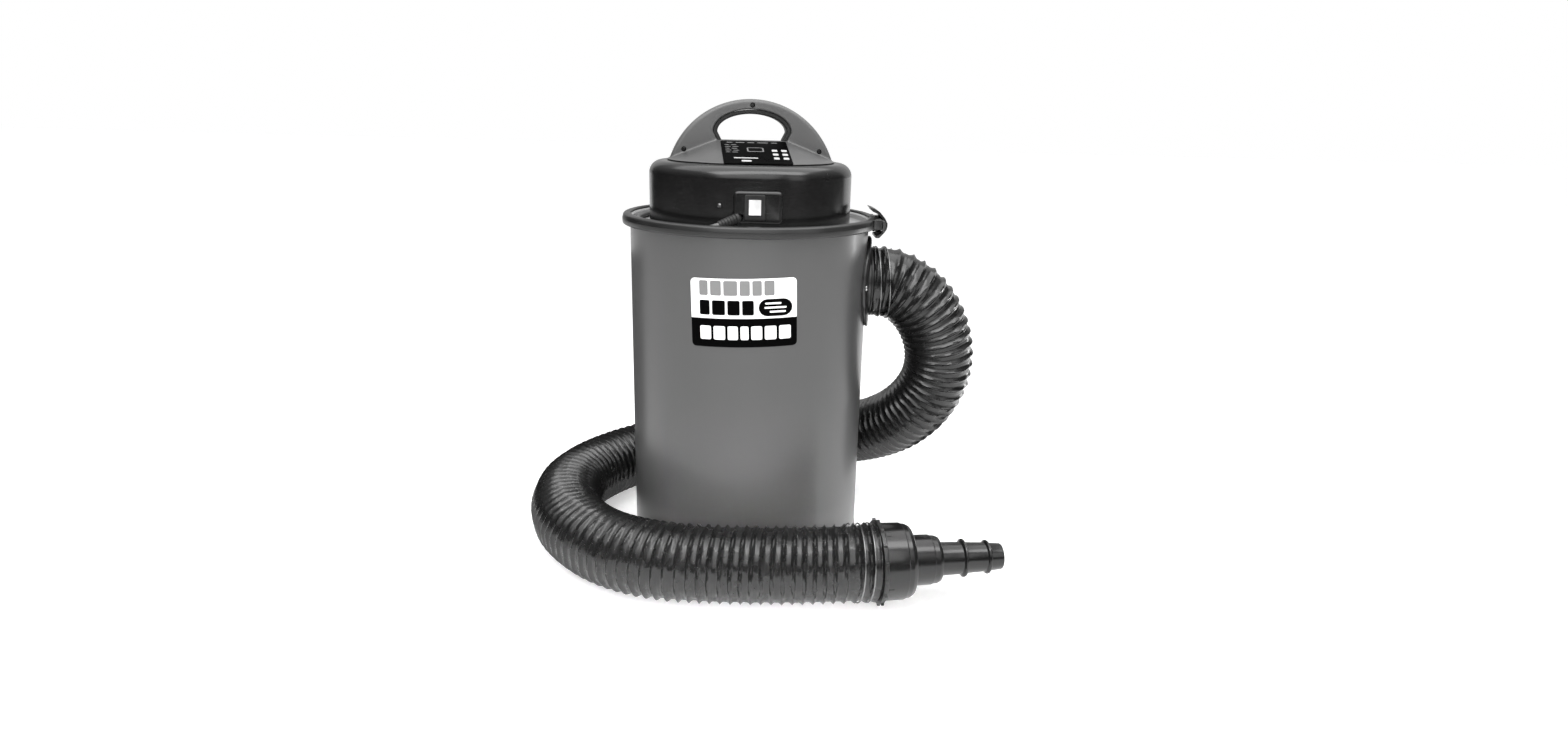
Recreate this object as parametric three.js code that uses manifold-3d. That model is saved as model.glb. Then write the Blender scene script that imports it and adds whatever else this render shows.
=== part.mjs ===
// Drum dust collector: a sheet-steel drum with a clamped motor head, a flexible hose and a mains lead.
// Millimetres, +Z up. The origin is the centre of the drum's flat bottom; the inlet port faces +X.
import * as THREE from "three";
import { mergeVertices } from "three/addons/utils/BufferGeometryUtils.js";
import { ConvexGeometry } from "three/addons/geometries/ConvexGeometry.js";
import Module from "manifold-3d";

const wasm = await Module();
wasm.setup();

// ---------------------------------------------------------------- driving dimensions
const round = 36; // facets of every large turned piece
const midRound = 24; // facets of the motor, the fans and the filter
const smallRound = 12; // facets of screws, pins and bearings
const gap = 0.4; // clearance between pieces that touch

const drumRadius = 180;
const drumWall = 1.2;
const drumRim = 506; // top of the rolled rim
const beadOut = 4; // how far the rolled rim stands out

const lidFloor = 499; // upper side of the lid's trough
const lidSheet = 1.6;
const lidRadius = 187;

const bandTop = 514;
const bandBottom = 498;
const bandRadius = 191.7;

const coverRadius = 151;
const coverTop = 590;
const coverWall = 3;
const coverShoulder = 28;

const roofRadius = 128; // foot of the handle moulding on the cover
const roofTop = 620;
const roofSkin = 3;
const archCentre = 551;
const archRadius = 127.5;
const archHalf = 17; // half the handle's thickness
const gripHalfWidth = 51;
const gripTop = 657.5;
const gripLining = 6.5;
const handleTurn = THREE.MathUtils.degToRad(5.6); // the handle sits a little askew of the switch

const portHeight = 412;
const spigotRadius = 48.8;
const spigotBore = 46;
const spigotLength = 13;
const flangeRadius = 70;

const hoseRadius = 55;
const hoseWall = 2.4;
const hoseStart = drumRadius + 8;
const cordRadius = 4.25;

const motorBase = 503;
const casingRadius = 72;
const casingTop = 556;
const frameRadius = 50;
const shaftRadius = 4;

const filterRadius = 90;
const filterBore = 64;
const filterTop = 480;
const filterBottom = 300;

const switchX = 8;
const switchZ = 536;
const bossFace = coverRadius + 3.5;

// ---------------------------------------------------------------- materials
function finish(color, roughness, metalness = 0) {
  return new THREE.MeshStandardMaterial({ color, roughness, metalness });
}

const greyPaint = finish(0x7a7a7a, 0.45, 0.2);
const lidPaint = finish(0xa8a8a8, 0.35, 0.2);
const blackGloss = finish(0x16161a, 0.25);
const blackSatin = finish(0x1e1e1e, 0.5);
const greyPlastic = finish(0x6a6a6a, 0.5);
const hosePlastic = finish(0x222222, 0.4);
const softRubber = finish(0x141414, 0.85);
const brightSteel = finish(0xb8b8b8, 0.3, 0.9);
const darkSteel = finish(0x3c3c3c, 0.45, 0.8);
const castAlloy = finish(0x9c9c9c, 0.5, 0.7);
const copper = finish(0x8a5a38, 0.4, 0.8);
const whitePlastic = finish(0xf0f0f0, 0.4);
const paperWhite = finish(0xe4e4e4, 0.8);

// ---------------------------------------------------------------- geometry helpers
// Keeps positions only, merges shared corners and turns the faces outwards.
function closed(geometry) {
  const bare = new THREE.BufferGeometry();
  bare.setAttribute("position", geometry.getAttribute("position").clone());
  if (geometry.index) bare.setIndex(geometry.index.clone());
  const merged = mergeVertices(bare, 1e-4);
  const faces = [];
  const at = merged.index.array;
  const a = new THREE.Vector3();
  const b = new THREE.Vector3();
  const c = new THREE.Vector3();
  let volume = 0;
  for (let i = 0; i < at.length; i += 3) {
    if (at[i] === at[i + 1] || at[i + 1] === at[i + 2] || at[i] === at[i + 2]) continue;
    a.fromBufferAttribute(merged.attributes.position, at[i]);
    b.fromBufferAttribute(merged.attributes.position, at[i + 1]);
    c.fromBufferAttribute(merged.attributes.position, at[i + 2]);
    volume += a.dot(b.cross(c));
    faces.push(at[i], at[i + 1], at[i + 2]);
  }
  if (volume < 0) faces.reverse();
  merged.setIndex(faces);
  return merged;
}

function toSolid(geometry) {
  const mesh = closed(geometry);
  return new wasm.Manifold(
    new wasm.Mesh({
      numProp: 3,
      vertProperties: new Float32Array(mesh.attributes.position.array),
      triVerts: new Uint32Array(mesh.index.array),
    }),
  );
}

function toGeometry(solid) {
  const mesh = solid.getMesh();
  const geometry = new THREE.BufferGeometry();
  geometry.setAttribute("position", new THREE.BufferAttribute(mesh.vertProperties, 3));
  geometry.setIndex(new THREE.BufferAttribute(mesh.triVerts, 1));
  return geometry;
}

function cut(base, ...tools) {
  let solid = toSolid(base);
  for (const tool of tools) solid = solid.subtract(toSolid(tool));
  return toGeometry(solid);
}

function join(base, ...others) {
  let solid = toSolid(base);
  for (const other of others) solid = solid.add(toSolid(other));
  return toGeometry(solid);
}

function common(base, other) {
  return toGeometry(toSolid(base).intersect(toSolid(other)));
}

// Turns a closed outline of [radius, height] pairs about the Z axis.
function turned(outline, facets = round) {
  const points = [...outline, outline[0]].map(([r, z]) => new THREE.Vector2(r, z));
  return new THREE.LatheGeometry(points, facets).rotateX(Math.PI / 2);
}

function pipe(inner, outer, low, high, facets = round) {
  return turned([[inner, low], [outer, low], [outer, high], [inner, high]], facets);
}

function disc(radius, low, high, facets = round) {
  return turned([[0, low], [radius, low], [radius, high], [0, high]], facets);
}

// Lays a piece made along +Z along +X instead.
function alongX(geometry) {
  return geometry.rotateY(Math.PI / 2);
}

function box(sizeX, sizeY, sizeZ, x, y, z) {
  return new THREE.BoxGeometry(sizeX, sizeY, sizeZ).translate(x, y, z);
}

function roundedRectangle(width, height, radius) {
  const x = width / 2;
  const y = height / 2;
  const shape = new THREE.Shape();
  shape.moveTo(-x + radius, -y);
  shape.lineTo(x - radius, -y);
  shape.absarc(x - radius, -y + radius, radius, -Math.PI / 2, 0);
  shape.absarc(x - radius, y - radius, radius, 0, Math.PI / 2);
  shape.absarc(-x + radius, y - radius, radius, Math.PI / 2, Math.PI);
  shape.absarc(-x + radius, -y + radius, radius, Math.PI, 1.5 * Math.PI);
  return shape;
}

function extruded(shape, depth, curveSegments = 6) {
  return new THREE.ExtrudeGeometry(shape, { depth, bevelEnabled: false, curveSegments });
}

// An outline drawn in X and Z, made solid between two Y planes.
function upright(shape, fromY, toY, curveSegments = 6) {
  return extruded(shape, toY - fromY, curveSegments).rotateX(Math.PI / 2).translate(0, toY, 0);
}

function vector([x, y, z]) {
  return new THREE.Vector3(x, y, z);
}

function tube(points, radius, sides, steps, bore = 0) {
  const section = new THREE.Shape();
  section.absarc(0, 0, radius, 0, 2 * Math.PI);
  if (bore) section.holes.push(new THREE.Path().absarc(0, 0, bore, 0, 2 * Math.PI, true));
  const path = new THREE.CatmullRomCurve3(points.map(vector));
  return new THREE.ExtrudeGeometry(section, { steps, extrudePath: path, curveSegments: sides });
}

function onCircle(radius, degrees, z) {
  const angle = THREE.MathUtils.degToRad(degrees);
  return [radius * Math.cos(angle), radius * Math.sin(angle), z];
}

// ---------------------------------------------------------------- assembly
const collector = new THREE.Group();

function place(name, geometry, material, parent = collector) {
  const solid = closed(geometry);
  solid.computeVertexNormals();
  const mesh = new THREE.Mesh(solid, material);
  mesh.name = name;
  parent.add(mesh);
  return mesh;
}

// A recessed pan-head screw that points along -Z before it is turned into place.
function screw(name, headRadius, headHeight, shankRadius, shankLength, material) {
  const outline = [
    [0, headHeight],
    [headRadius * 0.55, headHeight * 0.9],
    [headRadius, headHeight * 0.45],
    [headRadius, 0],
    [shankRadius, 0],
    [shankRadius, -shankLength],
    [0, -shankLength],
  ];
  return place(name, turned(outline, smallRound), material);
}

// ---------------------------------------------------------------- drum and inlet
const envelope = drumRadius + 1.4; // outside of the inlet gasket

function portHole(radius) {
  return alongX(disc(radius, 100, 260, 32)).translate(0, 0, portHeight);
}

function makeDrum() {
  const floor = 1.6;
  const outline = [
    [0, 0],
    [drumRadius - 8, 0],
    [drumRadius, 1.5],
    [drumRadius + 1.6, 4.5],
    [drumRadius + 1.6, 9],
    [drumRadius, 12],
    [drumRadius, drumRim - 8],
    [drumRadius + beadOut, drumRim - 5.5],
    [drumRadius + beadOut, drumRim - 2],
    [drumRadius + 1.5, drumRim],
    [drumRadius - drumWall, drumRim - 1],
    [drumRadius - drumWall, 12],
    [drumRadius - 8, floor],
    [0, floor],
  ];
  place("drum_shell", cut(turned(outline), portHole(spigotRadius + gap)), greyPaint);
}

function saddle(innerRadius, outerRadius, reach) {
  const shell = pipe(innerRadius, outerRadius, portHeight - 90, portHeight + 90);
  return common(shell, portHole(reach));
}

function makeInlet() {
  const gasket = saddle(drumRadius + gap, envelope, flangeRadius - 2);
  place("inlet_gasket", cut(gasket, portHole(spigotRadius + gap)), softRubber);

  const plate = saddle(envelope + gap, envelope + 4.4, flangeRadius);
  const spigotEnd = hoseStart + spigotLength;
  const spigot = cut(
    alongX(disc(spigotRadius, 150, spigotEnd, 32)).translate(0, 0, portHeight),
    disc(envelope + gap, portHeight - 90, portHeight + 90),
  );
  place("inlet_flange", cut(join(plate, spigot), portHole(spigotBore)), blackSatin);

  const screwReach = flangeRadius - 9;
  for (let i = 0; i < 4; i += 1) {
    const turn = (i * Math.PI) / 2;
    const y = screwReach * Math.cos(turn);
    const faceRadius = envelope + 5;
    const mesh = screw(`inlet_screw_${i + 1}`, 4.6, 2.6, 4.4, 0.2, brightSteel);
    mesh.rotation.set(0, Math.PI / 2, Math.asin(y / faceRadius), "ZYX");
    mesh.position.set(Math.sqrt(faceRadius ** 2 - y ** 2), y, portHeight + screwReach * Math.sin(turn));
  }
}

function makeFrontLabel() {
  const label = upright(roundedRectangle(145, 95, 7), -200, -100);
  const shell = pipe(drumRadius + gap, drumRadius + 1, 300, 480);
  const turnLeft = THREE.MathUtils.degToRad(-1.6);
  const mesh = place("front_label", common(shell, label.translate(0, 0, 396)), paperWhite);
  mesh.rotation.z = turnLeft;
}

// ---------------------------------------------------------------- hose, clips and reducer
const hoseRoute = [
  [hoseStart, 0, portHeight],
  [196, 0, portHeight],
  [204, 0, portHeight],
  [213, 0, 411.6],
  [225, 0, 408.6],
  [241, -1, 401],
  [262, -1, 386],
  [288, 3, 352],
  [305, 10, 303],
  [304, 21, 253],
  [288, 39, 208],
  [263, 64, 171],
  [235, 95, 143],
  [205, 130, 120],
  [174, 166, 101],
  [140, 200, 85],
  [101, 230, 72],
  [57, 252, 62],
  [7, 262, 57],
  [-43, 258, 56],
  [-91, 242, 56],
  [-134, 216, 56],
  [-174, 184, 56],
  [-212, 149, 56],
  [-244, 110, 56],
  [-270, 66, 56],
  [-285, 18, 56],
  [-287, -33, 56],
  [-278, -83, 56],
  [-259, -130, 56],
  [-230, -172, 56],
  [-193, -206, 56],
  [-149, -231, 56],
  [-100, -246, 56],
  [-49, -253, 56.8],
  [2, -257, 58],
  [52, -260, 59.6],
  [103, -261, 61.8],
  [150, -261.2, 64.4],
  [166, -259.6, 65],
  [182, -257.7, 65],
];

function makeHose() {
  place("hose", tube(hoseRoute, hoseRadius, 6, 42, hoseRadius - hoseWall), hosePlastic);

  const clip = pipe(hoseRadius + 1, hoseRadius + 3.4, 0, 7, midRound);
  place("hose_clip_inlet", alongX(clip.clone()).translate(hoseStart + 3, 0, portHeight), brightSteel);

  const tail = new THREE.Group();
  const [endX, endY, endZ] = hoseRoute.at(-1);
  tail.position.set(endX, endY, endZ);
  tail.rotation.z = Math.atan2(4, 34);
  collector.add(tail);
  const clipTail = pipe(hoseRadius + 1, hoseRadius + 3.4, -16, -9, midRound);
  place("hose_clip_outlet", alongX(clipTail), brightSteel, tail);

  const collarRadius = 61.5;
  let collar = pipe(spigotRadius + 1.2, collarRadius - 3, 0.8, 6.8, midRound);
  const toothCount = 12;
  for (let i = 0; i < toothCount; i += 1) {
    const tooth = box(6, 5, 4, collarRadius - 3.4, 0, 4.8);
    collar = join(collar, tooth.rotateZ((i / toothCount) * 2 * Math.PI));
  }
  place("hose_collar", alongX(collar), blackSatin, tail);

  const reducer = [
    [spigotRadius - 3.5, -22],
    [spigotRadius, -20],
    [spigotRadius, 7.2],
    [53.3, 7.2],
    [52.6, 42],
    [48, 49],
    [35.2, 50],
    [34.6, 84],
    [31, 90],
    [23.4, 91],
    [22.2, 123.5],
    [26.6, 124],
    [26.6, 127.5],
    [21.8, 128],
    [20.2, 158.5],
    [23.6, 159],
    [23.6, 162.5],
    [19.8, 163],
    [18.2, 182],
    [13.6, 182],
    [18.4, 92],
    [31, 84],
    [31, 53],
    [45.5, 44],
    [spigotRadius - 3.5, 8],
  ];
  place("stepped_reducer", alongX(turned(reducer, midRound)), blackGloss, tail);
}

// ---------------------------------------------------------------- lid, band and latch
function makeLid() {
  const low = lidFloor - lidSheet;
  const outline = [
    [45, low],
    [172, low],
    [175, lidFloor + 1],
    [176.9, 507.6],
    [179, 508.4],
    [lidRadius, 508.4],
    [lidRadius, 510.2],
    [178, 510.2],
    [175.6, 509],
    [173.6, 501.5],
    [171, lidFloor],
    [45, lidFloor],
  ];
  place("lid_pan", turned(outline), lidPaint);
  place("lid_gasket", pipe(179.4, lidRadius - 0.6, drumRim + 0.3, 508), softRubber);
}

function makeBand() {
  const lip = drumRadius + beadOut + 1.8;
  const outline = [
    [178.6, 511.8],
    [183, bandTop],
    [188.5, 512.9],
    [191.2, 509.6],
    [bandRadius, 506],
    [191.2, 502.4],
    [189.2, 499.3],
    [lip, bandBottom],
    [lip, 500],
    [187.4, 501.6],
    [188.4, 504],
    [188.4, 508.4],
    [187.4, 510.6],
  ];
  const split = box(30, 6, 30, 185, -13, 506);
  place("clamp_band", cut(turned(outline), split), blackSatin);
}

const latchPivot = [199, 30];
const linkPivot = [197, 0];

function rod(radius, x, y, low, high, facets = smallRound) {
  return disc(radius, low, high, facets).translate(x, y, 0);
}

function outlineOf(points) {
  return new THREE.Shape(points.map(([x, y]) => new THREE.Vector2(x, y)));
}

function makeLatch() {
  const bandClear = disc(bandRadius + gap, 480, 530);
  const [pivotX, pivotY] = latchPivot;

  const earLow = [487, 491];
  const earHigh = [507, 511];
  const back = box(13, 30, earHigh[1] - earLow[0], 186.5, 34, (earLow[0] + earHigh[1]) / 2);
  const ears = [earLow, earHigh].map(([low, high]) =>
    join(rod(6.5, pivotX, pivotY, low, high), box(9, 13, high - low, 194.5, pivotY, (low + high) / 2)),
  );
  const bracket = cut(
    join(back, ...ears),
    bandClear,
    rod(2.8, pivotX, pivotY, 480, 530),
  );
  place("latch_bracket", bracket, blackSatin);
  place("latch_pin", rod(2.4, pivotX, pivotY, 486, 512), brightSteel);

  const clawOuter = [
    [179, 528],
    [186.5, 525.5],
    [194, 521.5],
    [202, 512.5],
    [206, 505],
    [206, 500],
    [204.6, 495],
    [200.5, 489.5],
    [196, 484.5],
    [194, 482.8],
    [189.5, 482.8],
  ];
  const clawInner = [
    [189.5, 486],
    [194, 487.5],
    [198.5, 491],
    [201.6, 494.6],
    [201.6, 507],
    [198.6, 512],
    [194, 516.5],
    [189, 519.5],
    [183.5, 521.8],
  ];
  const claw = upright(outlineOf([...clawOuter, ...clawInner]), -30, 17);
  const barrelLow = earLow[1] + gap;
  const barrelHigh = earHigh[0] - gap;
  const web = box(4.6, 16, barrelHigh - barrelLow, 202.4, 22, (barrelLow + barrelHigh) / 2);
  const barrel = rod(4.8, pivotX, pivotY, barrelLow, barrelHigh);
  const [linkX, linkY] = linkPivot;
  const linkPin = rod(2, linkX, linkY, 486.5, 515);
  const lever = cut(join(claw, web, barrel, linkPin), rod(2.8, pivotX, pivotY, 489, 519));
  place("latch_lever", lever, blackSatin);

  const frame = cut(box(3, 58, 16, linkX, -29, 502.5), box(6, 42, 10, linkX, -29, 502.5));
  const knuckle = rod(4, linkX, linkY, 495, 507);
  place("latch_link", cut(join(frame, knuckle), rod(2.4, linkX, linkY, 490, 518)), brightSteel);

  const seat = box(20, 22, 14, 184, -50, 506);
  const post = box(14, 6, 7, 193, -45.5, 502.5);
  place("latch_catch", cut(join(cut(seat, box(40, 60, 40, 215, -50, 506)), post), bandClear), blackSatin);
}

// ---------------------------------------------------------------- motor cover
const cordExit = [-17, -150, 521];
const cordHeading = new THREE.Vector3(-0.86, -0.38, -0.33).normalize();

function alongCordExit(geometry) {
  const turn = new THREE.Quaternion().setFromUnitVectors(new THREE.Vector3(0, 0, 1), cordHeading);
  return geometry.applyQuaternion(turn).translate(...cordExit);
}

function makeCover() {
  const foot = lidFloor + gap;
  const bend = coverRadius - coverShoulder;
  const shoulder = [];
  const shoulderSteps = 4;
  for (let i = 0; i <= shoulderSteps; i += 1) {
    const angle = (i / shoulderSteps) * (Math.PI / 2);
    const reach = bend - 0.5 + coverShoulder * Math.cos(angle);
    shoulder.push([reach, coverTop - coverShoulder + coverShoulder * Math.sin(angle)]);
  }
  const mouth = 112;
  const innerCorner = (coverShoulder - coverWall - 1) * Math.SQRT1_2;
  const outline = [
    [coverRadius, foot],
    ...shoulder,
    [mouth, coverTop],
    [mouth, coverTop - coverWall],
    [bend, coverTop - coverWall],
    [bend + innerCorner, coverTop - coverShoulder + innerCorner],
    [coverRadius - coverWall - 0.5, coverTop - coverShoulder],
    [coverRadius - coverWall, foot],
  ];
  const inside = disc(coverRadius - 2, 480, 600);
  const bossBlock = upright(roundedRectangle(67, 44, 6), -bossFace, -140).translate(12, 0, 536);
  const switchHole = box(24, 60, 30, switchX, -coverRadius, switchZ);
  const cordHole = alongCordExit(disc(6.9, -24, 12, smallRound));
  const ventCount = 9;
  const ventSpacing = THREE.MathUtils.degToRad(7);
  const vents = [];
  for (let i = 0; i < ventCount; i += 1) {
    const turn = (i - (ventCount - 1) / 2) * ventSpacing;
    vents.push(box(7, 30, 32, 0, coverRadius, 536).rotateZ(turn));
  }
  const shell = join(turned(outline), cut(bossBlock, inside));
  place("motor_cover", cut(shell, switchHole, cordHole, ...vents), blackGloss);
}

function makeSwitch() {
  const flange = upright(roundedRectangle(28, 34, 2.5), -bossFace - 2.4, -bossFace - gap);
  const body = box(23, 24, 29, 0, -bossFace + 11, 0);
  const pocket = box(17.8, 14, 22.6, 0, -bossFace - 2.5, 0);
  const bezel = cut(join(flange, body), pocket).translate(switchX, 0, switchZ);
  place("switch_bezel", bezel, blackSatin);

  const rocker = outlineOf([
    [-4.6, -10.1],
    [-3.4, 0],
    [-4.6, 10.1],
    [-3.4, 10.4],
    [1.6, 7],
    [1.6, -7],
    [-3.4, -10.4],
  ]);
  const solid = extruded(rocker, 16.8).translate(0, 0, -8.4);
  const mesh = place("switch_rocker", solid.rotateY(-Math.PI / 2).rotateX(-Math.PI / 2), whitePlastic);
  mesh.position.set(switchX, -bossFace + 0.9, switchZ);
  mesh.rotation.x = THREE.MathUtils.degToRad(-6);
}

// ---------------------------------------------------------------- handle
function gripOutline(halfWidth, top, foot) {
  const shoulder = 632;
  const shape = new THREE.Shape();
  const kink = halfWidth - 6;
  shape.moveTo(-kink, foot);
  shape.lineTo(-halfWidth, shoulder - 3);
  shape.absellipse(0, shoulder, halfWidth, top - shoulder, Math.PI, 0, true);
  shape.lineTo(halfWidth, shoulder - 3);
  shape.lineTo(kink, foot);
  shape.closePath();
  return shape;
}

// The low roof under the arch: flat front and back slopes that run down to a round foot.
function roof(footRadius, height, halfWidth, ridge, foot) {
  const flat = footRadius - 10;
  const points = [];
  for (let i = 0; i < round; i += 1) {
    const [x, y] = onCircle(footRadius, (i / round) * 360, 0);
    points.push(vector([x, THREE.MathUtils.clamp(y, -flat, flat), foot]));
  }
  for (const x of [-halfWidth, halfWidth])
    for (const y of [-ridge, ridge]) points.push(vector([x, y, height]));
  return new ConvexGeometry(points);
}

const gripScrews = [
  [0, 670],
  [-100, 606],
  [100, 606],
];

function makeHandle() {
  const foot = coverTop + gap;
  const ringOut = new THREE.Shape().absarc(0, archCentre, archRadius, 0, Math.PI);
  const archSlab = new THREE.ExtrudeGeometry(ringOut, {
    depth: 2 * (archHalf - 3),
    bevelThickness: 3,
    bevelSize: 3,
    bevelOffset: -3,
    bevelSegments: 2,
    curveSegments: 20,
  })
    .rotateX(Math.PI / 2)
    .translate(0, archHalf - 3, 0);
  const opening = upright(gripOutline(gripHalfWidth + gripLining, gripTop + gripLining, roofTop), -30, 30, 20);
  const below = box(400, 400, 200, 0, 0, foot - 100);
  const whole = cut(join(roof(roofRadius, roofTop, 50, archHalf, foot), archSlab), opening, below);
  const room = roof(roofRadius - 14, roofTop - roofSkin, 44, 14, foot - 6);
  const counterbores = gripScrews.map(([x, z]) =>
    disc(4, -archHalf - 2, -archHalf + 4, smallRound).rotateX(-Math.PI / 2).translate(x, 0, z),
  );
  const bores = gripScrews.map(([x, z]) =>
    disc(2.4, -30, 12, smallRound).rotateX(-Math.PI / 2).translate(x, 0, z),
  );
  const shell = cut(whole, room, ...counterbores, ...bores);
  const rearHalf = box(400, 400, 400, 0, 200 - gap / 2, 600);
  const frontHalf = box(400, 400, 400, 0, -200 + gap / 2, 600);
  const handle = new THREE.Group();
  handle.rotation.z = handleTurn;
  collector.add(handle);
  place("handle_front", cut(shell, rearHalf), greyPlastic, handle);
  place("handle_rear", cut(shell, frontHalf), greyPlastic, handle);

  const lining = cut(
    upright(gripOutline(gripHalfWidth + gripLining - gap, gripTop + gripLining - gap, roofTop + gap), -14, 14, 20),
    upright(gripOutline(gripHalfWidth, gripTop, roofTop - 1), -30, 30, 20),
  );
  place("grip_lining", lining, softRubber, handle);

  gripScrews.forEach(([x, z], i) => {
    const mesh = screw(`handle_screw_${i + 1}`, 3.5, 2, 2, 22, darkSteel);
    mesh.rotation.x = Math.PI / 2;
    mesh.position.set(x, -archHalf + 4 - gap, z);
    handle.add(mesh);
  });

  const panelLength = 98;
  const slope = Math.atan2(roofTop - foot, roofRadius - 10 - archHalf);
  const panel = place("info_panel", extruded(roundedRectangle(96, panelLength, 3), 0.8), blackSatin, handle);
  panel.rotation.x = slope;
  panel.position.set(3, -archHalf - 50.5, roofTop - 50.5 * Math.tan(slope) + 0.5);
}

// ---------------------------------------------------------------- motor and fans
function makeMotor() {
  place("motor_gasket", pipe(50, 70, lidFloor + gap, motorBase - gap, midRound), softRubber);

  const casing = [
    [26, motorBase],
    [casingRadius, motorBase],
    [casingRadius, casingTop],
    [11.5, casingTop],
    [11.5, casingTop - 2],
    [casingRadius - 2, casingTop - 2],
    [casingRadius - 2, motorBase + 2],
    [26, motorBase + 2],
  ];
  const outletHeight = 544;
  const outletCount = 6;
  const outlets = [];
  for (let i = 0; i < outletCount; i += 1) {
    const turn = (i / outletCount) * 2 * Math.PI;
    outlets.push(box(30, 22, 12, casingRadius, 0, outletHeight).rotateZ(turn));
  }
  place("fan_casing", cut(turned(casing, midRound), ...outlets), brightSteel);
  place("fan_diffuser", pipe(22, casingRadius - 2.4, 526, 528, midRound), castAlloy);

  const cupTop = 614;
  const frame = [
    [frameRadius - 3.5, casingTop + gap],
    [frameRadius, casingTop + gap],
    [frameRadius, 604],
    [16, 606],
    [16, cupTop],
    [shaftRadius + 1, cupTop],
    [shaftRadius + 1, cupTop - 2],
    [12.6, cupTop - 2],
    [12.6, 601],
    [frameRadius - 3.5, 601],
  ];
  const windowHeight = 595;
  const slots = [];
  for (let i = 0; i < 4; i += 1) {
    const turn = Math.PI / 4 + (i * Math.PI) / 2;
    slots.push(box(20, 26, 10, frameRadius, 0, windowHeight).rotateZ(turn));
  }
  place("motor_frame", cut(turned(frame, midRound), ...slots), castAlloy);

  const coreLow = 564;
  const coreHigh = 588;
  place("stator_core", pipe(29, frameRadius - 4, coreLow, coreHigh, midRound), darkSteel);
  for (const side of [-1, 1]) {
    const word = side < 0 ? "left" : "right";
    const winding = common(pipe(30, 44, 588.4, 594, midRound), box(60, 50, 20, side * 45, 0, 590));
    place(`field_winding_${word}`, winding, copper);
    const holder = box(24, 8, 6, side * 25.5, 0, 597.6);
    place(`brush_holder_${word}`, holder, copper);
  }
  place("upper_bearing", pipe(shaftRadius + gap, 12, 604, 611, smallRound), brightSteel);
  place("lower_bearing", pipe(shaftRadius + gap, 11, 549, 555.5, smallRound), brightSteel);

  const outer = shaftRadius + gap;
  place("rotor_shaft", disc(shaftRadius, 507, 613, smallRound), brightSteel);
  place("armature", pipe(outer, 28, coreLow, coreHigh, smallRound), darkSteel);
  place("commutator", pipe(outer, 12, 590, 602, smallRound), copper);
  place("cooling_fan", pipe(outer, 40, 558, 562, smallRound), blackSatin);
  const wheel = (low) =>
    turned([[outer, low], [62, low], [62, low + 10], [24, low + 14], [outer, low + 14]], midRound);
  place("impeller_lower", wheel(508), castAlloy);
  place("impeller_upper", wheel(532), castAlloy);
}

// ---------------------------------------------------------------- filter
function makeFilter() {
  const under = lidFloor - lidSheet - gap;
  const topCap = [
    [52, filterTop + gap],
    [filterRadius + 2, filterTop + gap],
    [filterRadius + 2, filterTop + 7],
    [filterRadius - 4, filterTop + 8],
    [filterRadius - 8, under],
    [filterRadius - 20, under],
    [filterRadius - 24, filterTop + 8],
    [52, filterTop + 8],
  ];
  place("filter_top_cap", turned(topCap, midRound), softRubber);
  place("filter_cartridge", pipe(filterBore, filterRadius, filterBottom, filterTop, midRound), paperWhite);
  const bottomCap = pipe(5, filterRadius + 2, filterBottom - 8, filterBottom - gap, midRound);
  place("filter_bottom_cap", bottomCap, blackSatin);

  let stud = join(
    disc(3.2, filterBottom - 28, filterTop + 14, smallRound),
    disc(9, filterTop + 10, under - 0.2, smallRound),
  );
  for (let i = 0; i < 3; i += 1)
    stud = join(stud, box(56, 6, 3, 34, 0, under - 1.8).rotateZ((i * 2 * Math.PI) / 3));
  place("filter_stud", stud, brightSteel);

  const knobTop = filterBottom - 8 - gap;
  const hub = pipe(4, 12, knobTop - 16, knobTop, smallRound);
  place("filter_knob", join(hub, box(14, 7, 16, 15, 0, knobTop - 8), box(14, 7, 16, -15, 0, knobTop - 8)), blackSatin);
}

// ---------------------------------------------------------------- mains lead
const troughRadius = 168.5;
const troughHeight = lidFloor + cordRadius + 0.4;

const leadInGland = [-4, 8, 20, 32].map((distance) =>
  vector(cordExit).addScaledVector(cordHeading, distance).toArray(),
);

const leadOnLid = [
  ...leadInGland,
  [-60, -157.5, 506.2],
  onCircle(troughRadius, -120, troughHeight),
  onCircle(troughRadius, -132, troughHeight),
  onCircle(troughRadius, -144, troughHeight),
  onCircle(troughRadius, -156, troughHeight),
  onCircle(troughRadius, -168, troughHeight),
  onCircle(troughRadius, 180, troughHeight),
  onCircle(troughRadius, 168, troughHeight),
  onCircle(troughRadius, 156, troughHeight),
  onCircle(troughRadius, 144, troughHeight),
  onCircle(troughRadius, 132, troughHeight),
  onCircle(168.8, 124, 506),
  onCircle(171, 117, 513),
  onCircle(176, 110, 519),
  [-53, 169.5, 520.4],
  [-49.5, 174, 521],
  [-46, 178.5, 521],
];

const leadDrop = [
  [-45.4, 179.3, 521],
  [-42.3, 184.5, 520.8],
  [-38.9, 195.5, 517.7],
  [-37.5, 204, 510.8],
  [-37, 210, 500],
  [-37, 213, 485],
  [-37, 214, 460],
  [-37, 213, 400],
  [-37, 212, 340],
  [-37, 211, 280],
  [-37, 210, 230],
  [-37, 211, 195],
  [-37, 215, 166],
  [-37, 224, 141],
  [-37, 239, 123],
  [-37, 258, 117.5],
  [-37, 283, 112.5],
  [-37, 304, 97],
  [-37, 317, 77],
  [-37, 321, 56],
  [-37, 323.5, 34],
  [-37, 331, 15.5],
  [-37, 345, 6.5],
  [-37, 363, 4.8],
  [-37, 384, 4.8],
];

const coilCentre = [14, 400];
const coilRadius = 51;
const coilLeave = THREE.MathUtils.degToRad(64); // where the last turn runs off towards the plug
const leaveHeading = [Math.sin(coilLeave), -Math.cos(coilLeave)];
const plugReach = 62;

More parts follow.
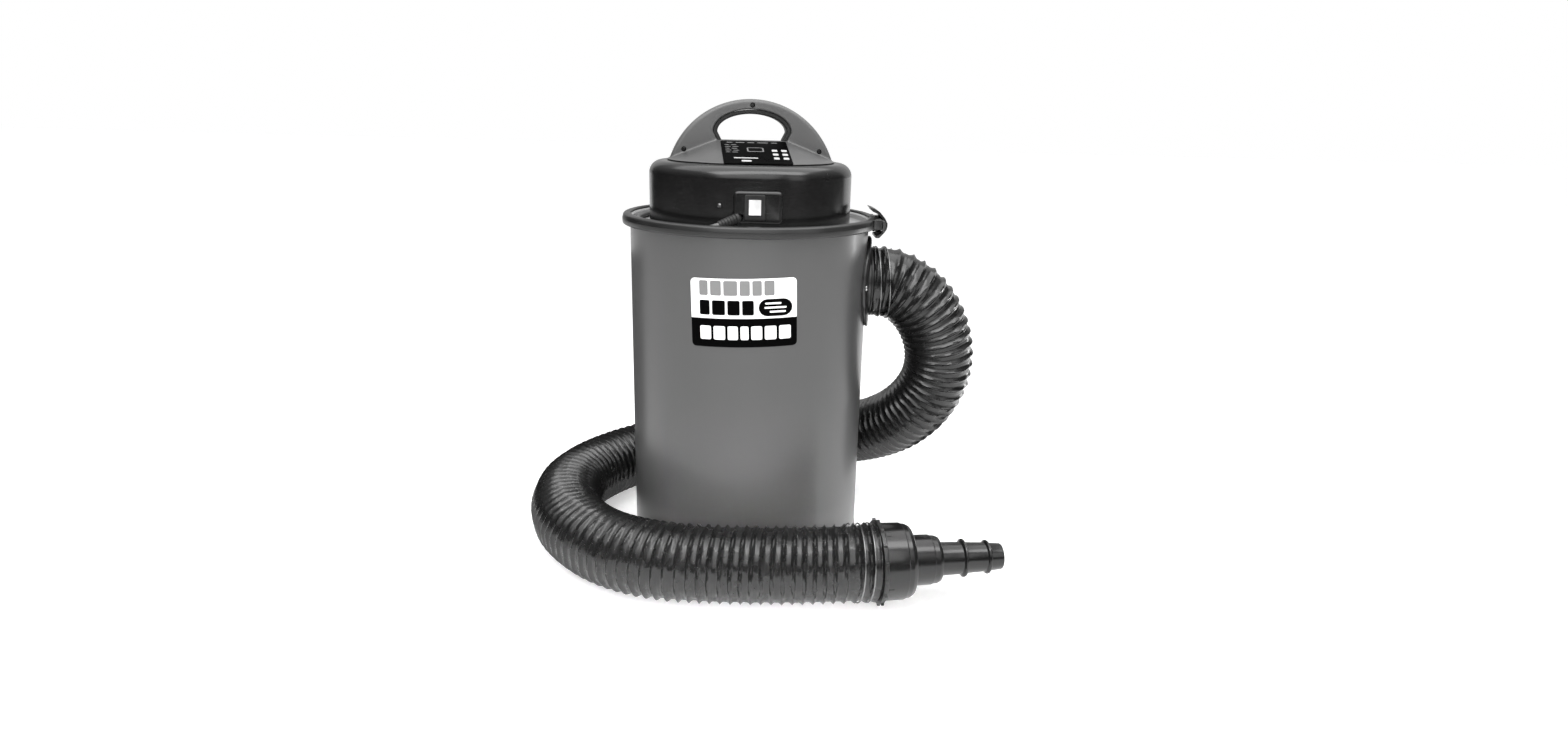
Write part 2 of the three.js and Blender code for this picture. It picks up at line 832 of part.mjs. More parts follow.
function alongLeave(distance, z) {
  const [headX, headY] = leaveHeading;
  const x = coilCentre[0] + coilRadius * Math.cos(coilLeave) + distance * headX;
  const y = coilCentre[1] + coilRadius * Math.sin(coilLeave) + distance * headY;
  return [x, y, z];
}

function makeLead() {
  const gland = turned([[4.9, -8], [6.5, -8], [6.5, 3], [5.7, 25], [4.9, 25]], smallRound);
  place("cord_gland", alongCordExit(gland), softRubber);
  place("cord_clamp_screw", screwOnCover(), brightSteel);

  place("mains_cord_on_lid", tube(leadOnLid, cordRadius, 4, 32), softRubber);
  place("mains_cord_drop", tube(leadDrop, cordRadius, 4, 30), softRubber);

  const [coilX, coilY] = coilCentre;
  const ringHalf = cordRadius * (1 + Math.SQRT2); // four strands lie in one round bundle
  const notch = 2 * cordRadius + 2 * gap;
  const entry = leadDrop.at(-1);
  const coil = pipe(coilRadius - ringHalf, coilRadius + ringHalf, gap, 2 * ringHalf + gap, midRound);
  const notchIn = box(notch, 60, 12, coilX - coilRadius, entry[1] + gap - 30, 4);
  const notchOut = box(60, notch, 12, 16 - gap + 30, 0, 4)
    .rotateZ(Math.atan2(leaveHeading[1], leaveHeading[0]))
    .translate(...alongLeave(0, 0));
  place("mains_cord_coil", cut(coil.translate(coilX, coilY, 0), notchIn, notchOut), softRubber);
  const tail = [16, 24, 32, 40, 48, plugReach - 7].map((d) => alongLeave(d, 4.8));
  place("mains_cord_tail", tube(tail, cordRadius, 4, 4), softRubber);
}

function screwOnCover() {
  const head = turned([[0, 2.4], [2, 2.2], [3.2, 1], [3.2, gap], [0, gap]], smallRound);
  return head.rotateX(Math.PI / 2).translate(0, -coverRadius, 537).rotateZ(-0.27);
}

function makePlug() {
  const bodyHeight = 23;
  const plug = new THREE.Group();
  plug.position.set(...alongLeave(plugReach + 25, gap));
  plug.rotation.z = Math.atan2(leaveHeading[1], leaveHeading[0]);
  collector.add(plug);
  const body = extruded(roundedRectangle(50, 48, 9), bodyHeight);
  const pins = [
    box(4, 8, 22, 14, 0, bodyHeight + 10),
    box(6.4, 4, 18, -8.2, 11, bodyHeight + 8),
    box(6.4, 4, 18, -8.2, -11, bodyHeight + 8),
  ];
  const sleeve = alongX(disc(6.2, -31, -22, smallRound)).translate(0, 0, 4.8 + 1.8 - gap);
  const entry = alongX(disc(cordRadius + gap, -40, -30.5, smallRound)).translate(0, 0, 4.8 - gap);
  place("mains_plug", cut(join(body, ...pins, sleeve), entry), blackSatin, plug);
}

makeDrum();
makeInlet();
makeFrontLabel();
makeHose();
makeLid();
makeBand();
makeLatch();
makeCover();
makeSwitch();
makeHandle();
makeMotor();
makeFilter();
makeLead();
makePlug();

export default collector;
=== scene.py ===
"""Looks of a drum dust collector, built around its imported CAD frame.

Metres, +Z up. The origin is the centre of the drum's bottom, and the inlet port faces +X.
"""
import math

import bmesh
import bpy
from mathutils import Matrix, Quaternion, Vector, noise


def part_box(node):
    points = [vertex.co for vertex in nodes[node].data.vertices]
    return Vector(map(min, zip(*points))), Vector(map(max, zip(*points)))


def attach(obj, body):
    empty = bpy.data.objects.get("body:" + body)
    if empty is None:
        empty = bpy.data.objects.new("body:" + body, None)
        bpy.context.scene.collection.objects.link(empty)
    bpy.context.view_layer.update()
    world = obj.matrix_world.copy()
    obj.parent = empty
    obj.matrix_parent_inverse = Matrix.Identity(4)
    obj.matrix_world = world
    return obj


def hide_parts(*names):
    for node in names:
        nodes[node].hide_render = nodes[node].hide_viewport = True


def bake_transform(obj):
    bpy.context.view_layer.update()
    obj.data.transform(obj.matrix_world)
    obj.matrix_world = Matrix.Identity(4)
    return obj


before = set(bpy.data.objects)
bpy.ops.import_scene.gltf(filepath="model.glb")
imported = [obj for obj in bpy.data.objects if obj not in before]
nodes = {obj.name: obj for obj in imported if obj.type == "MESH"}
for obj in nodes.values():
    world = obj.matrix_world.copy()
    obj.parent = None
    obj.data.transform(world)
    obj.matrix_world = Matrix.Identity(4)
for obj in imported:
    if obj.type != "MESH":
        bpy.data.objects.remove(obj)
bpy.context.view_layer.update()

FULL_TURN = 2 * math.pi
FINE = 192  # steps round the large turned pieces
MEDIUM = 96
SMALL = 32
NEARLY_STRAIGHT = 1.55  # half the angle of a corner too flat to round, in radians
GAP = 0.0004  # clearance between pieces that must not touch

# ------------------------------------------------------------------ sizes taken from the frame
def span(node):
    """The lowest and highest level of a CAD node."""
    return tuple(corner.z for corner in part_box(node))


DRUM_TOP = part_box("drum_shell")[1].z
BEAD_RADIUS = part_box("drum_shell")[1].x
DRUM_RADIUS = BEAD_RADIUS - 0.004
BAND_LOW, BAND_HIGH = span("clamp_band")
BAND_RADIUS = -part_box("clamp_band")[0].x
COVER_FOOT, COVER_TOP = span("motor_cover")
COVER_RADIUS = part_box("motor_cover")[1].x
HANDLE_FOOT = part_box("handle_front")[0].z
ROOF_RADIUS = 0.128  # the low roof under the handle
FILTER_LOW, FILTER_HIGH = span("filter_cartridge")
FILTER_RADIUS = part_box("filter_cartridge")[1].x
PORT = Vector((0.188, 0, 0.412))  # where the hose begins, on the port's axis
HOSE_RADIUS = 0.055
CORD_RADIUS = 0.00425


# ------------------------------------------------------------------ material building
def rgba(colour):
    """A grey level or an (r, g, b) colour, as a shader takes it."""
    return (colour, colour, colour, 1) if isinstance(colour, (int, float)) else (*colour, 1)


def new_material(name, colour, roughness, metallic=0.0, coat=0.0, coat_roughness=0.05):
    material = bpy.data.materials.new(name)
    material.use_nodes = True
    shader = material.node_tree.nodes["Principled BSDF"]
    shader.inputs["Base Color"].default_value = rgba(colour)
    shader.inputs["Roughness"].default_value = roughness
    shader.inputs["Metallic"].default_value = metallic
    shader.inputs["Coat Weight"].default_value = coat
    shader.inputs["Coat Roughness"].default_value = coat_roughness
    return material


def add(material, kind, inputs, **settings):
    """A new shader node whose inputs are numbers or other nodes' outputs."""
    node = material.node_tree.nodes.new("ShaderNode" + kind)
    for key, value in settings.items():
        setattr(node, key, value)
    for key, value in inputs.items():
        if isinstance(value, bpy.types.NodeSocket):
            material.node_tree.links.new(value, node.inputs[key])
        else:
            node.inputs[key].default_value = value
    return node


def shade(material, socket, value):
    shader = material.node_tree.nodes["Principled BSDF"]
    material.node_tree.links.new(value, shader.inputs[socket])


def own_place(material):
    """The piece's own coordinates, in metres."""
    return add(material, "TexCoord", {}).outputs["Object"]


def own_height(material):
    return add(material, "SeparateXYZ", {"Vector": own_place(material)}).outputs["Z"]


def times(material, first, second):
    return add(material, "Math", {0: first, 1: second}, operation="MULTIPLY").outputs[0]


def speckle(material, scale, detail=3, stretch=(1, 1, 1)):
    """A noise from 0 to 1 over the piece, about scale grains to the metre."""
    vector = add(material, "Mapping", {"Vector": own_place(material), "Scale": stretch}).outputs["Vector"]
    return add(material, "TexNoise", {"Vector": vector, "Scale": scale, "Detail": detail}).outputs["Fac"]


def remap(material, value, low, high, from_low=0.3, from_high=0.7):
    ends = {"Value": value, "From Min": from_low, "From Max": from_high, "To Min": low, "To Max": high}
    return add(material, "MapRange", ends).outputs["Result"]


def mix(material, factor, first, second):
    """Goes from the first colour to the second; either may be a grey, a colour or a node's output."""
    node = add(material, "Mix", {}, data_type="RGBA")
    sockets = {0: factor, 6: first, 7: second}
    for index, value in sockets.items():
        if isinstance(value, bpy.types.NodeSocket):
            material.node_tree.links.new(value, node.inputs[index])
        else:
            node.inputs[index].default_value = value if index == 0 else rgba(value)
    return node.outputs[2]


def bump(material, *layers):
    """Stacks (height, distance) layers into the shader's normal."""
    normal = None
    for height, distance in layers:
        inputs = {"Height": height, "Distance": distance, "Strength": 1.0}
        if normal:
            inputs["Normal"] = normal
        normal = add(material, "Bump", inputs).outputs["Normal"]
    shade(material, "Normal", normal)


def rubbed(material, low=0.52, high=0.6):
    """1 along outward edges, where hands and knocks polish a surface, broken up by a noise."""
    edges = add(material, "NewGeometry", {}).outputs["Pointiness"]
    sharp = remap(material, edges, 0, 1, low, high)
    patches = remap(material, speckle(material, 60), 0, 1, 0.42, 0.62)
    return times(material, sharp, patches)


# ------------------------------------------------------------------ materials
def painted_steel(name, grey, roughness, dust=0.0):
    """Stove enamel: orange peel, slow changes of gloss, worn edges and dust towards the floor."""
    material = new_material(name, grey, roughness, 0.0, 0.15, 0.2)
    clouds = speckle(material, 5, 4)
    worn = grey * 1.6 + 0.1
    base = mix(material, remap(material, clouds, 0, 1), grey * 0.95, grey * 1.05)
    edged = mix(material, rubbed(material), base, worn)
    if dust:
        dust_top = 0.09
        low = remap(material, own_height(material), dust, 0, 0, dust_top)
        film = times(material, low, speckle(material, 40))
        edged = mix(material, film, edged, (0.42, 0.41, 0.4))
    shade(material, "Base Color", edged)
    shade(material, "Roughness", remap(material, clouds, roughness * 0.88, roughness * 1.12))
    bump(material, (speckle(material, 420, 2), 0.00005), (speckle(material, 14, 2), 0.0003))
    return material


def moulded(name, grey, roughness, grain=900, depth=0.00004, coat=0.0, edge=0.0):
    """Injection-moulded plastic: spark-eroded grain, flow clouds and handling marks."""
    material = new_material(name, grey, roughness, 0.0, coat, 0.06)
    clouds = speckle(material, 9, 4)
    base = mix(material, remap(material, clouds, 0, 1), grey * 0.9, grey * 1.1)
    pale = grey * 1.5 + 0.02 + edge
    shade(material, "Base Color", mix(material, rubbed(material), base, pale))
    smears = speckle(material, 26, 6, (1, 1, 0.3))
    shade(material, "Roughness", remap(material, smears, roughness * 0.82, roughness * 1.2))
    bump(material, (speckle(material, grain, 2), depth))
    return material


def gloss_black(name, grey, roughness):
    """Polished black moulding under fine scratches, finger marks and a trace of dust."""
    material = new_material(name, grey, roughness)
    dust = remap(material, speckle(material, 700, 2), 0, 0.05, 0.62, 0.8)
    shade(material, "Base Color", mix(material, dust, grey, 0.3))
    scratches = speckle(material, 300, 3, (0.05, 1, 1))
    smears = speckle(material, 18, 5)
    marks = times(material, scratches, smears)
    shade(material, "Roughness", remap(material, marks, roughness * 0.85, roughness * 1.3, 0.1, 0.45))
    bump(material, (speckle(material, 22, 2), 0.0002), (speckle(material, 500, 2), 0.000008))
    return material


def hose_vinyl():
    """Glossy black PVC film over a wire helix, with chalky dust where it is sheltered."""
    dark = 0.006
    material = new_material("hose_vinyl", dark, 0.3)
    hollow = add(material, "NewGeometry", {}).outputs["Pointiness"]
    sheltered = remap(material, hollow, 0.05, 0, 0.42, 0.5)
    chalk = times(material, sheltered, speckle(material, 90, 5))
    shade(material, "Base Color", mix(material, chalk, dark, 0.25))
    shade(material, "Roughness", remap(material, speckle(material, 55, 5), 0.17, 0.32))
    bump(material, (speckle(material, 160, 4), 0.0003), (speckle(material, 900, 2), 0.00004))
    return material


def rubber(name, grey, roughness=0.62):
    """Matt rubber with a fine skin, a little bloom and paler rubbed edges."""
    material = new_material(name, grey, roughness)
    bloom = remap(material, speckle(material, 45, 5), 0, 0.35, 0.5, 0.75)
    base = mix(material, bloom, grey, grey * 1.8 + 0.01)
    shade(material, "Base Color", mix(material, rubbed(material), base, grey * 2 + 0.03))
    shade(material, "Roughness", remap(material, speckle(material, 120), roughness * 0.85, roughness * 1.1))
    bump(material, (speckle(material, 1100, 2), 0.00005))
    return material


def brushed(name, grey, roughness, stretch=(1, 1, 0.04), tint=(1, 1, 1)):
    """Metal with fine drawn lines, slow tarnish and brighter edges."""
    colour = tuple(grey * part for part in tint)
    material = new_material(name, colour, roughness, 1.0)
    lines = speckle(material, 2400, 3, stretch)
    tarnish = speckle(material, 70, 5)
    dull = tuple(part * 0.7 for part in colour)
    shade(material, "Base Color", mix(material, remap(material, tarnish, 0, 1), dull, colour))
    both = times(material, lines, tarnish)
    shade(material, "Roughness", remap(material, both, roughness * 0.7, roughness * 1.4, 0.12, 0.4))
    bump(material, (lines, 0.00001))
    return material


def cast(name, grey, roughness):
    """Die-cast alloy: sandy skin and dark pores."""
    material = new_material(name, grey, roughness, 0.9)
    pores = remap(material, speckle(material, 600, 4), 0, 1, 0.3, 0.5)
    shade(material, "Base Color", mix(material, pores, grey * 0.5, grey))
    shade(material, "Roughness", remap(material, speckle(material, 80), roughness * 0.8, roughness * 1.2))
    bump(material, (speckle(material, 700, 3), 0.0001))
    return material


def winding_copper():
    """Enamelled wire: close turns seen as ridges, in a varnished red-brown, with painted shade in the grooves
    between turns and a painted highlight on their crowns.
    """
    material = new_material("winding_copper", (0.35, 0.15, 0.07), 0.35, 0.8, 0.6)
    winding = {"Vector": own_place(material), "Scale": 420.0, "Distortion": 1.5}
    wave = add(material, "TexWave", winding, bands_direction="Z")
    turns = wave.outputs["Fac"]
    # the colour follows the ridges: painted shade in the grooves, painted highlight on the crowns
    shade(material, "Base Color", mix(material, turns, (0.16, 0.06, 0.03), (0.42, 0.19, 0.09)))
    bump(material, (turns, 0.0003))
    return material


def filter_paper():
    """Cream cellulose with fibres and the grey bloom of fine dust."""
    material = new_material("filter_paper", (0.62, 0.61, 0.58), 0.9)
    fibres = speckle(material, 1500, 4, (1, 1, 0.2))
    dusty = remap(material, speckle(material, 18, 5), 0, 0.6)
    base = mix(material, remap(material, fibres, 0, 1), (0.55, 0.54, 0.51), (0.7, 0.69, 0.66))
    shade(material, "Base Color", mix(material, dusty, base, (0.45, 0.42, 0.37)))
    bump(material, (fibres, 0.00008))
    return material


def printed(name, grey, sheen=0.12, haze_level=0.06):
    """Screen print on gloss film, with a faint dot structure and handling haze."""
    material = new_material(name, grey, 0.5)
    material.node_tree.nodes["Principled BSDF"].inputs["Specular IOR Level"].default_value = sheen
    dots = remap(material, speckle(material, 900, 2), 0, 0.06)
    haze = min(1.0, grey * 0.8 + haze_level)
    shade(material, "Base Color", mix(material, dots, grey, haze))
    shade(material, "Roughness", remap(material, speckle(material, 30, 5), 0.24, 0.4))
    bump(material, (speckle(material, 60, 2), 0.00006))
    return material


DRUM_PAINT = painted_steel("drum_enamel", 0.052, 0.34, dust=0.16)
LID_PAINT = painted_steel("lid_enamel", 0.42, 0.4)
COVER_BLACK = gloss_black("cover_gloss", 0.005, 0.22)
REDUCER_BLACK = gloss_black("reducer_gloss", 0.006, 0.2)
TRIM_BLACK = moulded("trim_black", 0.010, 0.34, 700, 0.00003)
LATCH_BLACK = moulded("latch_black", 0.008, 0.3, 500, 0.00003)
HANDLE_GREY = moulded("handle_grey", 0.072, 0.38, 800, 0.00003, edge=0.04)
SWITCH_WHITE = moulded("switch_white", 0.46, 0.25, 1200, 0.00001, coat=0.3)
HOSE_VINYL = hose_vinyl()
SEAL_RUBBER = rubber("seal_rubber", 0.014)
# near-black rubber for the cord strap; on the hand hole's ring the same colour is painted shade
STRAP_RUBBER_AND_GRIP_SHADE = rubber("strap_rubber_and_grip_shade", 0.006, 0.55)
CORD_SHEATH = rubber("cord_sheath", 0.085, 0.42)
BRIGHT_STEEL = brushed("bright_steel", 0.62, 0.24)
WIRE_STEEL = brushed("wire_steel", 0.26, 0.3)
DARK_STEEL = brushed("dark_steel", 0.09, 0.4)
PIN_BRASS = brushed("pin_brass", 0.7, 0.22, tint=(1, 0.78, 0.45))
CAST_ALLOY = cast("cast_alloy", 0.5, 0.42)
WINDING_COPPER = winding_copper()
FILTER_PAPER = filter_paper()
PRINT_WHITE = printed("print_white", 0.86)
PRINT_BLACK = printed("print_black", 0.001, 0.01, 0.01)
PRINT_GREY = printed("print_grey", 0.18)
PRINT_PALE = printed("print_pale", 0.5)


# ------------------------------------------------------------------ mesh building
def polar(radius, angle):
    return Vector((radius * math.cos(angle), radius * math.sin(angle)))


def linked(item):
    """Puts a new object into the scene."""
    bpy.context.scene.collection.objects.link(item)
    return item


def new_piece(name, mesh, material, sharp=35):
    """An object for the mesh, with its faces turned outwards and smooth below the sharp angle."""
    work = bmesh.new()
    work.from_mesh(mesh)
    bmesh.ops.remove_doubles(work, verts=work.verts, dist=1e-6)
    bmesh.ops.recalc_face_normals(work, faces=work.faces)
    work.to_mesh(mesh)
    work.free()
    mesh.shade_smooth()
    mesh.set_sharp_from_angle(angle=math.radians(sharp))
    mesh.materials.append(material)
    return linked(bpy.data.objects.new(name, mesh))


def from_points(name, points, faces, material, sharp=35):
    mesh = bpy.data.meshes.new(name)
    mesh.from_pydata(points, [], faces)
    return new_piece(name, mesh, material, sharp)


def grid_faces(rows, columns, close_rows=False, close_columns=True):
    """Quads between points that are listed row by row."""
    faces = []
    for row in range(rows if close_rows else rows - 1):
        below = row * columns
        above = (row + 1) % rows * columns
        for column in range(columns if close_columns else columns - 1):
            beside = (column + 1) % columns
            faces.append((below + column, below + beside, above + beside, above + column))
    return faces


def end_faces(total, count):
    """The two faces that close a tube of total points, in rings of count."""
    return [tuple(range(count)), tuple(range(total - count, total))]


def lofted(name, outlines, material, sharp=35):
    """A closed solid through closed outlines of equal length, with flat ends."""
    count = len(outlines[0])
    points = [point for outline in outlines for point in outline]
    faces = grid_faces(len(outlines), count)
    faces.append(tuple(reversed(range(count))))
    faces.append(tuple(range(len(points) - count, len(points))))
    return from_points(name, points, faces, material, sharp)


def upright_loft(name, outline, levels, material):
    """A closed solid of one XZ outline through (inset, y) levels."""
    return lofted(name, [[(p.x, y, p.y) for p in shrunk(outline, inset)] for inset, y in levels], material)


def section(inner, outer, low, high, *fillets):
    """The (radius, height, fillet) corners of a plain ring; a single fillet does for all four."""
    if len(fillets) < 4:
        fillets = (fillets or (0,)) * 4
    places = ((inner, low), (outer, low), (outer, high), (inner, high))
    return [(*place, fillet) for place, fillet in zip(places, fillets)]


def rounded(corners, steps=5):
    """A closed outline through (x, y, fillet) corners, each rounded with an arc."""
    outline = []
    for i, (x, y, fillet) in enumerate(corners):
        corner = Vector((x, y))
        before = Vector(corners[i - 1][:2]) - corner
        after = Vector(corners[(i + 1) % len(corners)][:2]) - corner
        half = before.angle(after, 0) / 2
        if not fillet or half > NEARLY_STRAIGHT:
            outline.append(corner)
            continue
        reach = min(fillet / math.tan(half), 0.49 * before.length, 0.49 * after.length)
        middle = (before.normalized() + after.normalized()).normalized()
        centre = corner + middle * (reach / math.cos(half))
        first = corner + before.normalized() * reach - centre
        last = corner + after.normalized() * reach - centre
        turn = math.atan2(first.x * last.y - first.y * last.x, first.dot(last))
        for k in range(steps + 1):
            angle = turn * k / steps
            c, s = math.cos(angle), math.sin(angle)
            outline.append(centre + Vector((first.x * c - first.y * s, first.x * s + first.y * c)))
    return outline


def turned(name, corners, material, steps=FINE, start=0.0, sweep=FULL_TURN, sharp=35, fillet_steps=4):
    """Turns an outline of (radius, height, fillet) corners about the Z axis."""
    outline = rounded(corners, fillet_steps)
    whole = sweep >= FULL_TURN
    rings = steps if whole else steps + 1
    points = []
    for i in range(rings):
        angle = start + sweep * i / steps
        points += [(p.x * math.cos(angle), p.x * math.sin(angle), p.y) for p in outline]
    faces = grid_faces(rings, len(outline), close_rows=whole)
    if not whole:
        faces += end_faces(len(points), len(outline))
    return from_points(name, points, faces, material, sharp)


def extruded(name, outline, low, high, material, edge=0.0, sharp=35):
    """An XY outline made solid between two heights, with rounded edges."""
    shape = [Vector(p[:2]) for p in outline]
    if not edge:
        return lofted(name, [[(p.x, p.y, z) for p in shape] for z in (low, high)], material, sharp)
    insets = [(edge * (1 - math.sin(a)), edge * (1 - math.cos(a))) for a in (0, 0.4, 0.8, 1.2, math.pi / 2)]
    levels = [(inset, low + rise) for inset, rise in insets]
    levels += [(inset, high - rise) for inset, rise in reversed(insets)]
    return lofted(name, [[(p.x, p.y, z) for p in shrunk(shape, i)] for i, z in levels], material, sharp)


def shrunk(shape, inset):
    """Moves each point of a closed outline inwards, square to its neighbours."""
    area = sum(a.x * b.y - b.x * a.y for a, b in zip(shape, shape[1:] + shape[:1]))
    side = 1 if area > 0 else -1
    moved = []
    for i, point in enumerate(shape):
        along = (shape[(i + 1) % len(shape)] - shape[i - 1]).normalized()
        moved.append(point + Vector((-along.y, along.x)) * inset * side)
    return moved


def rectangle(width, height, fillet, x=0.0, y=0.0):
    w, h = width / 2, height / 2
    corners = [(x - w, y - h), (x + w, y - h), (x + w, y + h), (x - w, y + h)]
    return rounded([(a, b, fillet) for a, b in corners])


def evaluated(piece):
    """Bakes the piece's modifiers into its mesh."""
    graph = bpy.context.evaluated_depsgraph_get()
    mesh = bpy.data.meshes.new_from_object(piece.evaluated_get(graph))
    piece.modifiers.clear()
    piece.data = mesh
    return piece


def boolean(piece, operation, *tools):
    for tool in tools:
        modifier = piece.modifiers.new(operation, "BOOLEAN")
        modifier.operation = operation
        modifier.solver = "EXACT"
        modifier.object = tool
        evaluated(piece)
        bpy.data.objects.remove(tool)
    piece.data.set_sharp_from_angle(angle=math.radians(30))
    return piece


def cut(piece, *tools):
    return boolean(piece, "DIFFERENCE", *tools)


def join(piece, *others):
    return boolean(piece, "UNION", *others)


def moved(piece, turn=None, shift=(0, 0, 0)):
    """Turns the mesh by a matrix or quaternion, then shifts it."""
    if turn is not None:
        rotation = turn.to_matrix() if isinstance(turn, Quaternion) else turn
        piece.data.transform(rotation.to_4x4())
    piece.data.transform(Matrix.Translation(shift))
    return piece


def merged(name, pieces, material=None):
    """One piece out of several; its closed shells may touch."""
    work = bmesh.new()
    mesh = bpy.data.meshes.new(name)
    for piece in pieces:
        offset = len(mesh.materials)
        for item in piece.data.materials:
            mesh.materials.append(item)
        part = piece.data
        for polygon in part.polygons:
            polygon.material_index += offset
        work.from_mesh(part)
        bpy.data.objects.remove(piece)
    work.to_mesh(mesh)
    work.free()
    if material:
        mesh.materials.clear()
        mesh.materials.append(material)
    return linked(bpy.data.objects.new(name, mesh))


def turn_z(degrees):
    return Matrix.Rotation(math.radians(degrees), 3, "Z")


def turn_x(degrees):
    return Matrix.Rotation(math.radians(degrees), 3, "X")


TO_X = Matrix.Rotation(math.pi / 2, 3, "Y")  # lays a piece made along +Z along +X


def around(count, make, first=0):
    """What make() builds, count times over, turned evenly about Z from the first angle in degrees."""
    return [moved(make(), turn_z(360 / count * i + first)) for i in range(count)]


def stands_for(piece, body, slot, *cad_nodes):
    """Puts a finished piece on its body, in place of the CAD nodes it stands for."""
    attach(piece, body)
    if cad_nodes:
        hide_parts(*cad_nodes)
    return piece


# ------------------------------------------------------------------ curves and cords
def smooth_route(points, spacing):
    """Even steps along the centripetal Catmull-Rom curve through the points."""
    knots = [Vector(p) for p in points]
    knots = [2 * knots[0] - knots[1], *knots, 2 * knots[-1] - knots[-2]]
    dense = []
    for p0, p1, p2, p3 in zip(knots, knots[1:], knots[2:], knots[3:]):
        t1 = (p1 - p0).length ** 0.5
        t2 = t1 + (p2 - p1).length ** 0.5
        t3 = t2 + (p3 - p2).length ** 0.5
        for k in range(24):
            t = t1 + (t2 - t1) * k / 24
            a1 = p0.lerp(p1, t / t1)
            a2 = p1.lerp(p2, (t - t1) / (t2 - t1))
            a3 = p2.lerp(p3, (t - t2) / (t3 - t2))
            b1 = a1.lerp(a2, t / t2)
            b2 = a2.lerp(a3, (t - t1) / (t3 - t1))
            dense.append(b1.lerp(b2, (t - t1) / (t2 - t1)))
    dense.append(knots[-2])
    return evenly(dense, spacing)


def path_length(path):
    return sum((b - a).length for a, b in zip(path, path[1:]))


def evenly(path, spacing):
    """The same line with points an even step apart."""
    total = path_length(path)
    count = max(2, round(total / spacing))
    step = total / count
    even = [path[0]]
    walked = 0.0
    for a, b in zip(path, path[1:]):
        length = (b - a).length
        while len(even) < count and walked + length >= step * len(even):
            even.append(a.lerp(b, (step * len(even) - walked) / length))
        walked += length
    even.append(path[-1])
    return even


def frames_along(path):
    """(centre, sideways, upwards) along the path, turning no more than the path does."""
    last = len(path) - 1
    tangents = [(path[min(i + 1, last)] - path[max(i - 1, 0)]).normalized() for i in range(last + 1)]
    side = tangents[0].cross(Vector((0, 0, 1)))
    if side.length < 0.1:
        side = tangents[0].cross(Vector((0, 1, 0)))
    side.normalize()
    frames = []
    for i, (centre, tangent) in enumerate(zip(path, tangents)):
        if i:
            side = tangents[i - 1].rotation_difference(tangent) @ side
        side = (side - tangent * side.dot(tangent)).normalized()
        frames.append((centre, side, side.cross(tangent).normalized()))
    return frames


def tube_rings(frames, sides, radius_at):
    """Rings of points; radius_at(index, angle) gives the surface's distance from the line."""
    rings = []
    for i, (centre, side, up) in enumerate(frames):
        for k in range(sides):
            angle = FULL_TURN * k / sides
            rings.append(centre + (side * math.cos(angle) + up * math.sin(angle)) * radius_at(i, angle))
    return rings


def solid_tube(name, path, radius, sides, material):
    """A round solid bar along a path, with flat ends."""
    frames = frames_along(path)
    points = tube_rings(frames, sides, lambda i, angle: radius)
    faces = grid_faces(len(path), sides) + end_faces(len(points), sides)
    return from_points(name, points, faces, material, 50)


# ------------------------------------------------------------------ camera, light and floor
def make_camera():
    """Stands where the catalogue view was taken from: chest high, close, and tilted down."""
    yaw, pitch, roll = (math.radians(a) for a in (1.78, 16.03, 1.49))
    focal_share = 0.5663  # focal length over the image's width
    camera = bpy.data.objects.new("camera", bpy.data.cameras.new("camera"))
    sensor = 36
    camera.data.sensor_width = sensor
    camera.data.lens = sensor * focal_share
    camera.data.clip_end = 60
    turn = Matrix.Rotation(-yaw, 3, "Z") @ Matrix.Rotation(math.pi / 2 - pitch, 3, "X")
    turn = turn @ Matrix.Rotation(roll, 3, "Z")
    camera.matrix_world = Matrix.Translation((0.0152, -1.3647, 0.654)) @ turn.to_4x4()
    bpy.context.scene.camera = linked(camera)


def area_light(name, place, target, width, height, power):
    light = bpy.data.lights.new(name, "AREA")
    light.shape = "RECTANGLE"
    light.size, light.size_y = width, height
    light.energy = power
    lamp = bpy.data.objects.new(name, light)
    facing = (Vector(target) - Vector(place)).to_track_quat("-Z", "Y")
    lamp.matrix_world = Matrix.Translation(place) @ facing.to_matrix().to_4x4()
    return linked(lamp)


def curved_flag(name, reach, low, high, start, end, material):
    """An upright arc round the object, seen only by what mirrors it."""
    steps = 60
    points = []
    for i in range(steps + 1):
        angle = math.radians(start + (end - start) * i / steps)
        points += [(*polar(reach, angle), z) for z in (low, high)]
    flag = from_points(name, points, grid_faces(steps + 1, 2, close_columns=False), material)
    flag.visible_camera = False
    flag.visible_diffuse = False
    flag.visible_shadow = False
    return flag


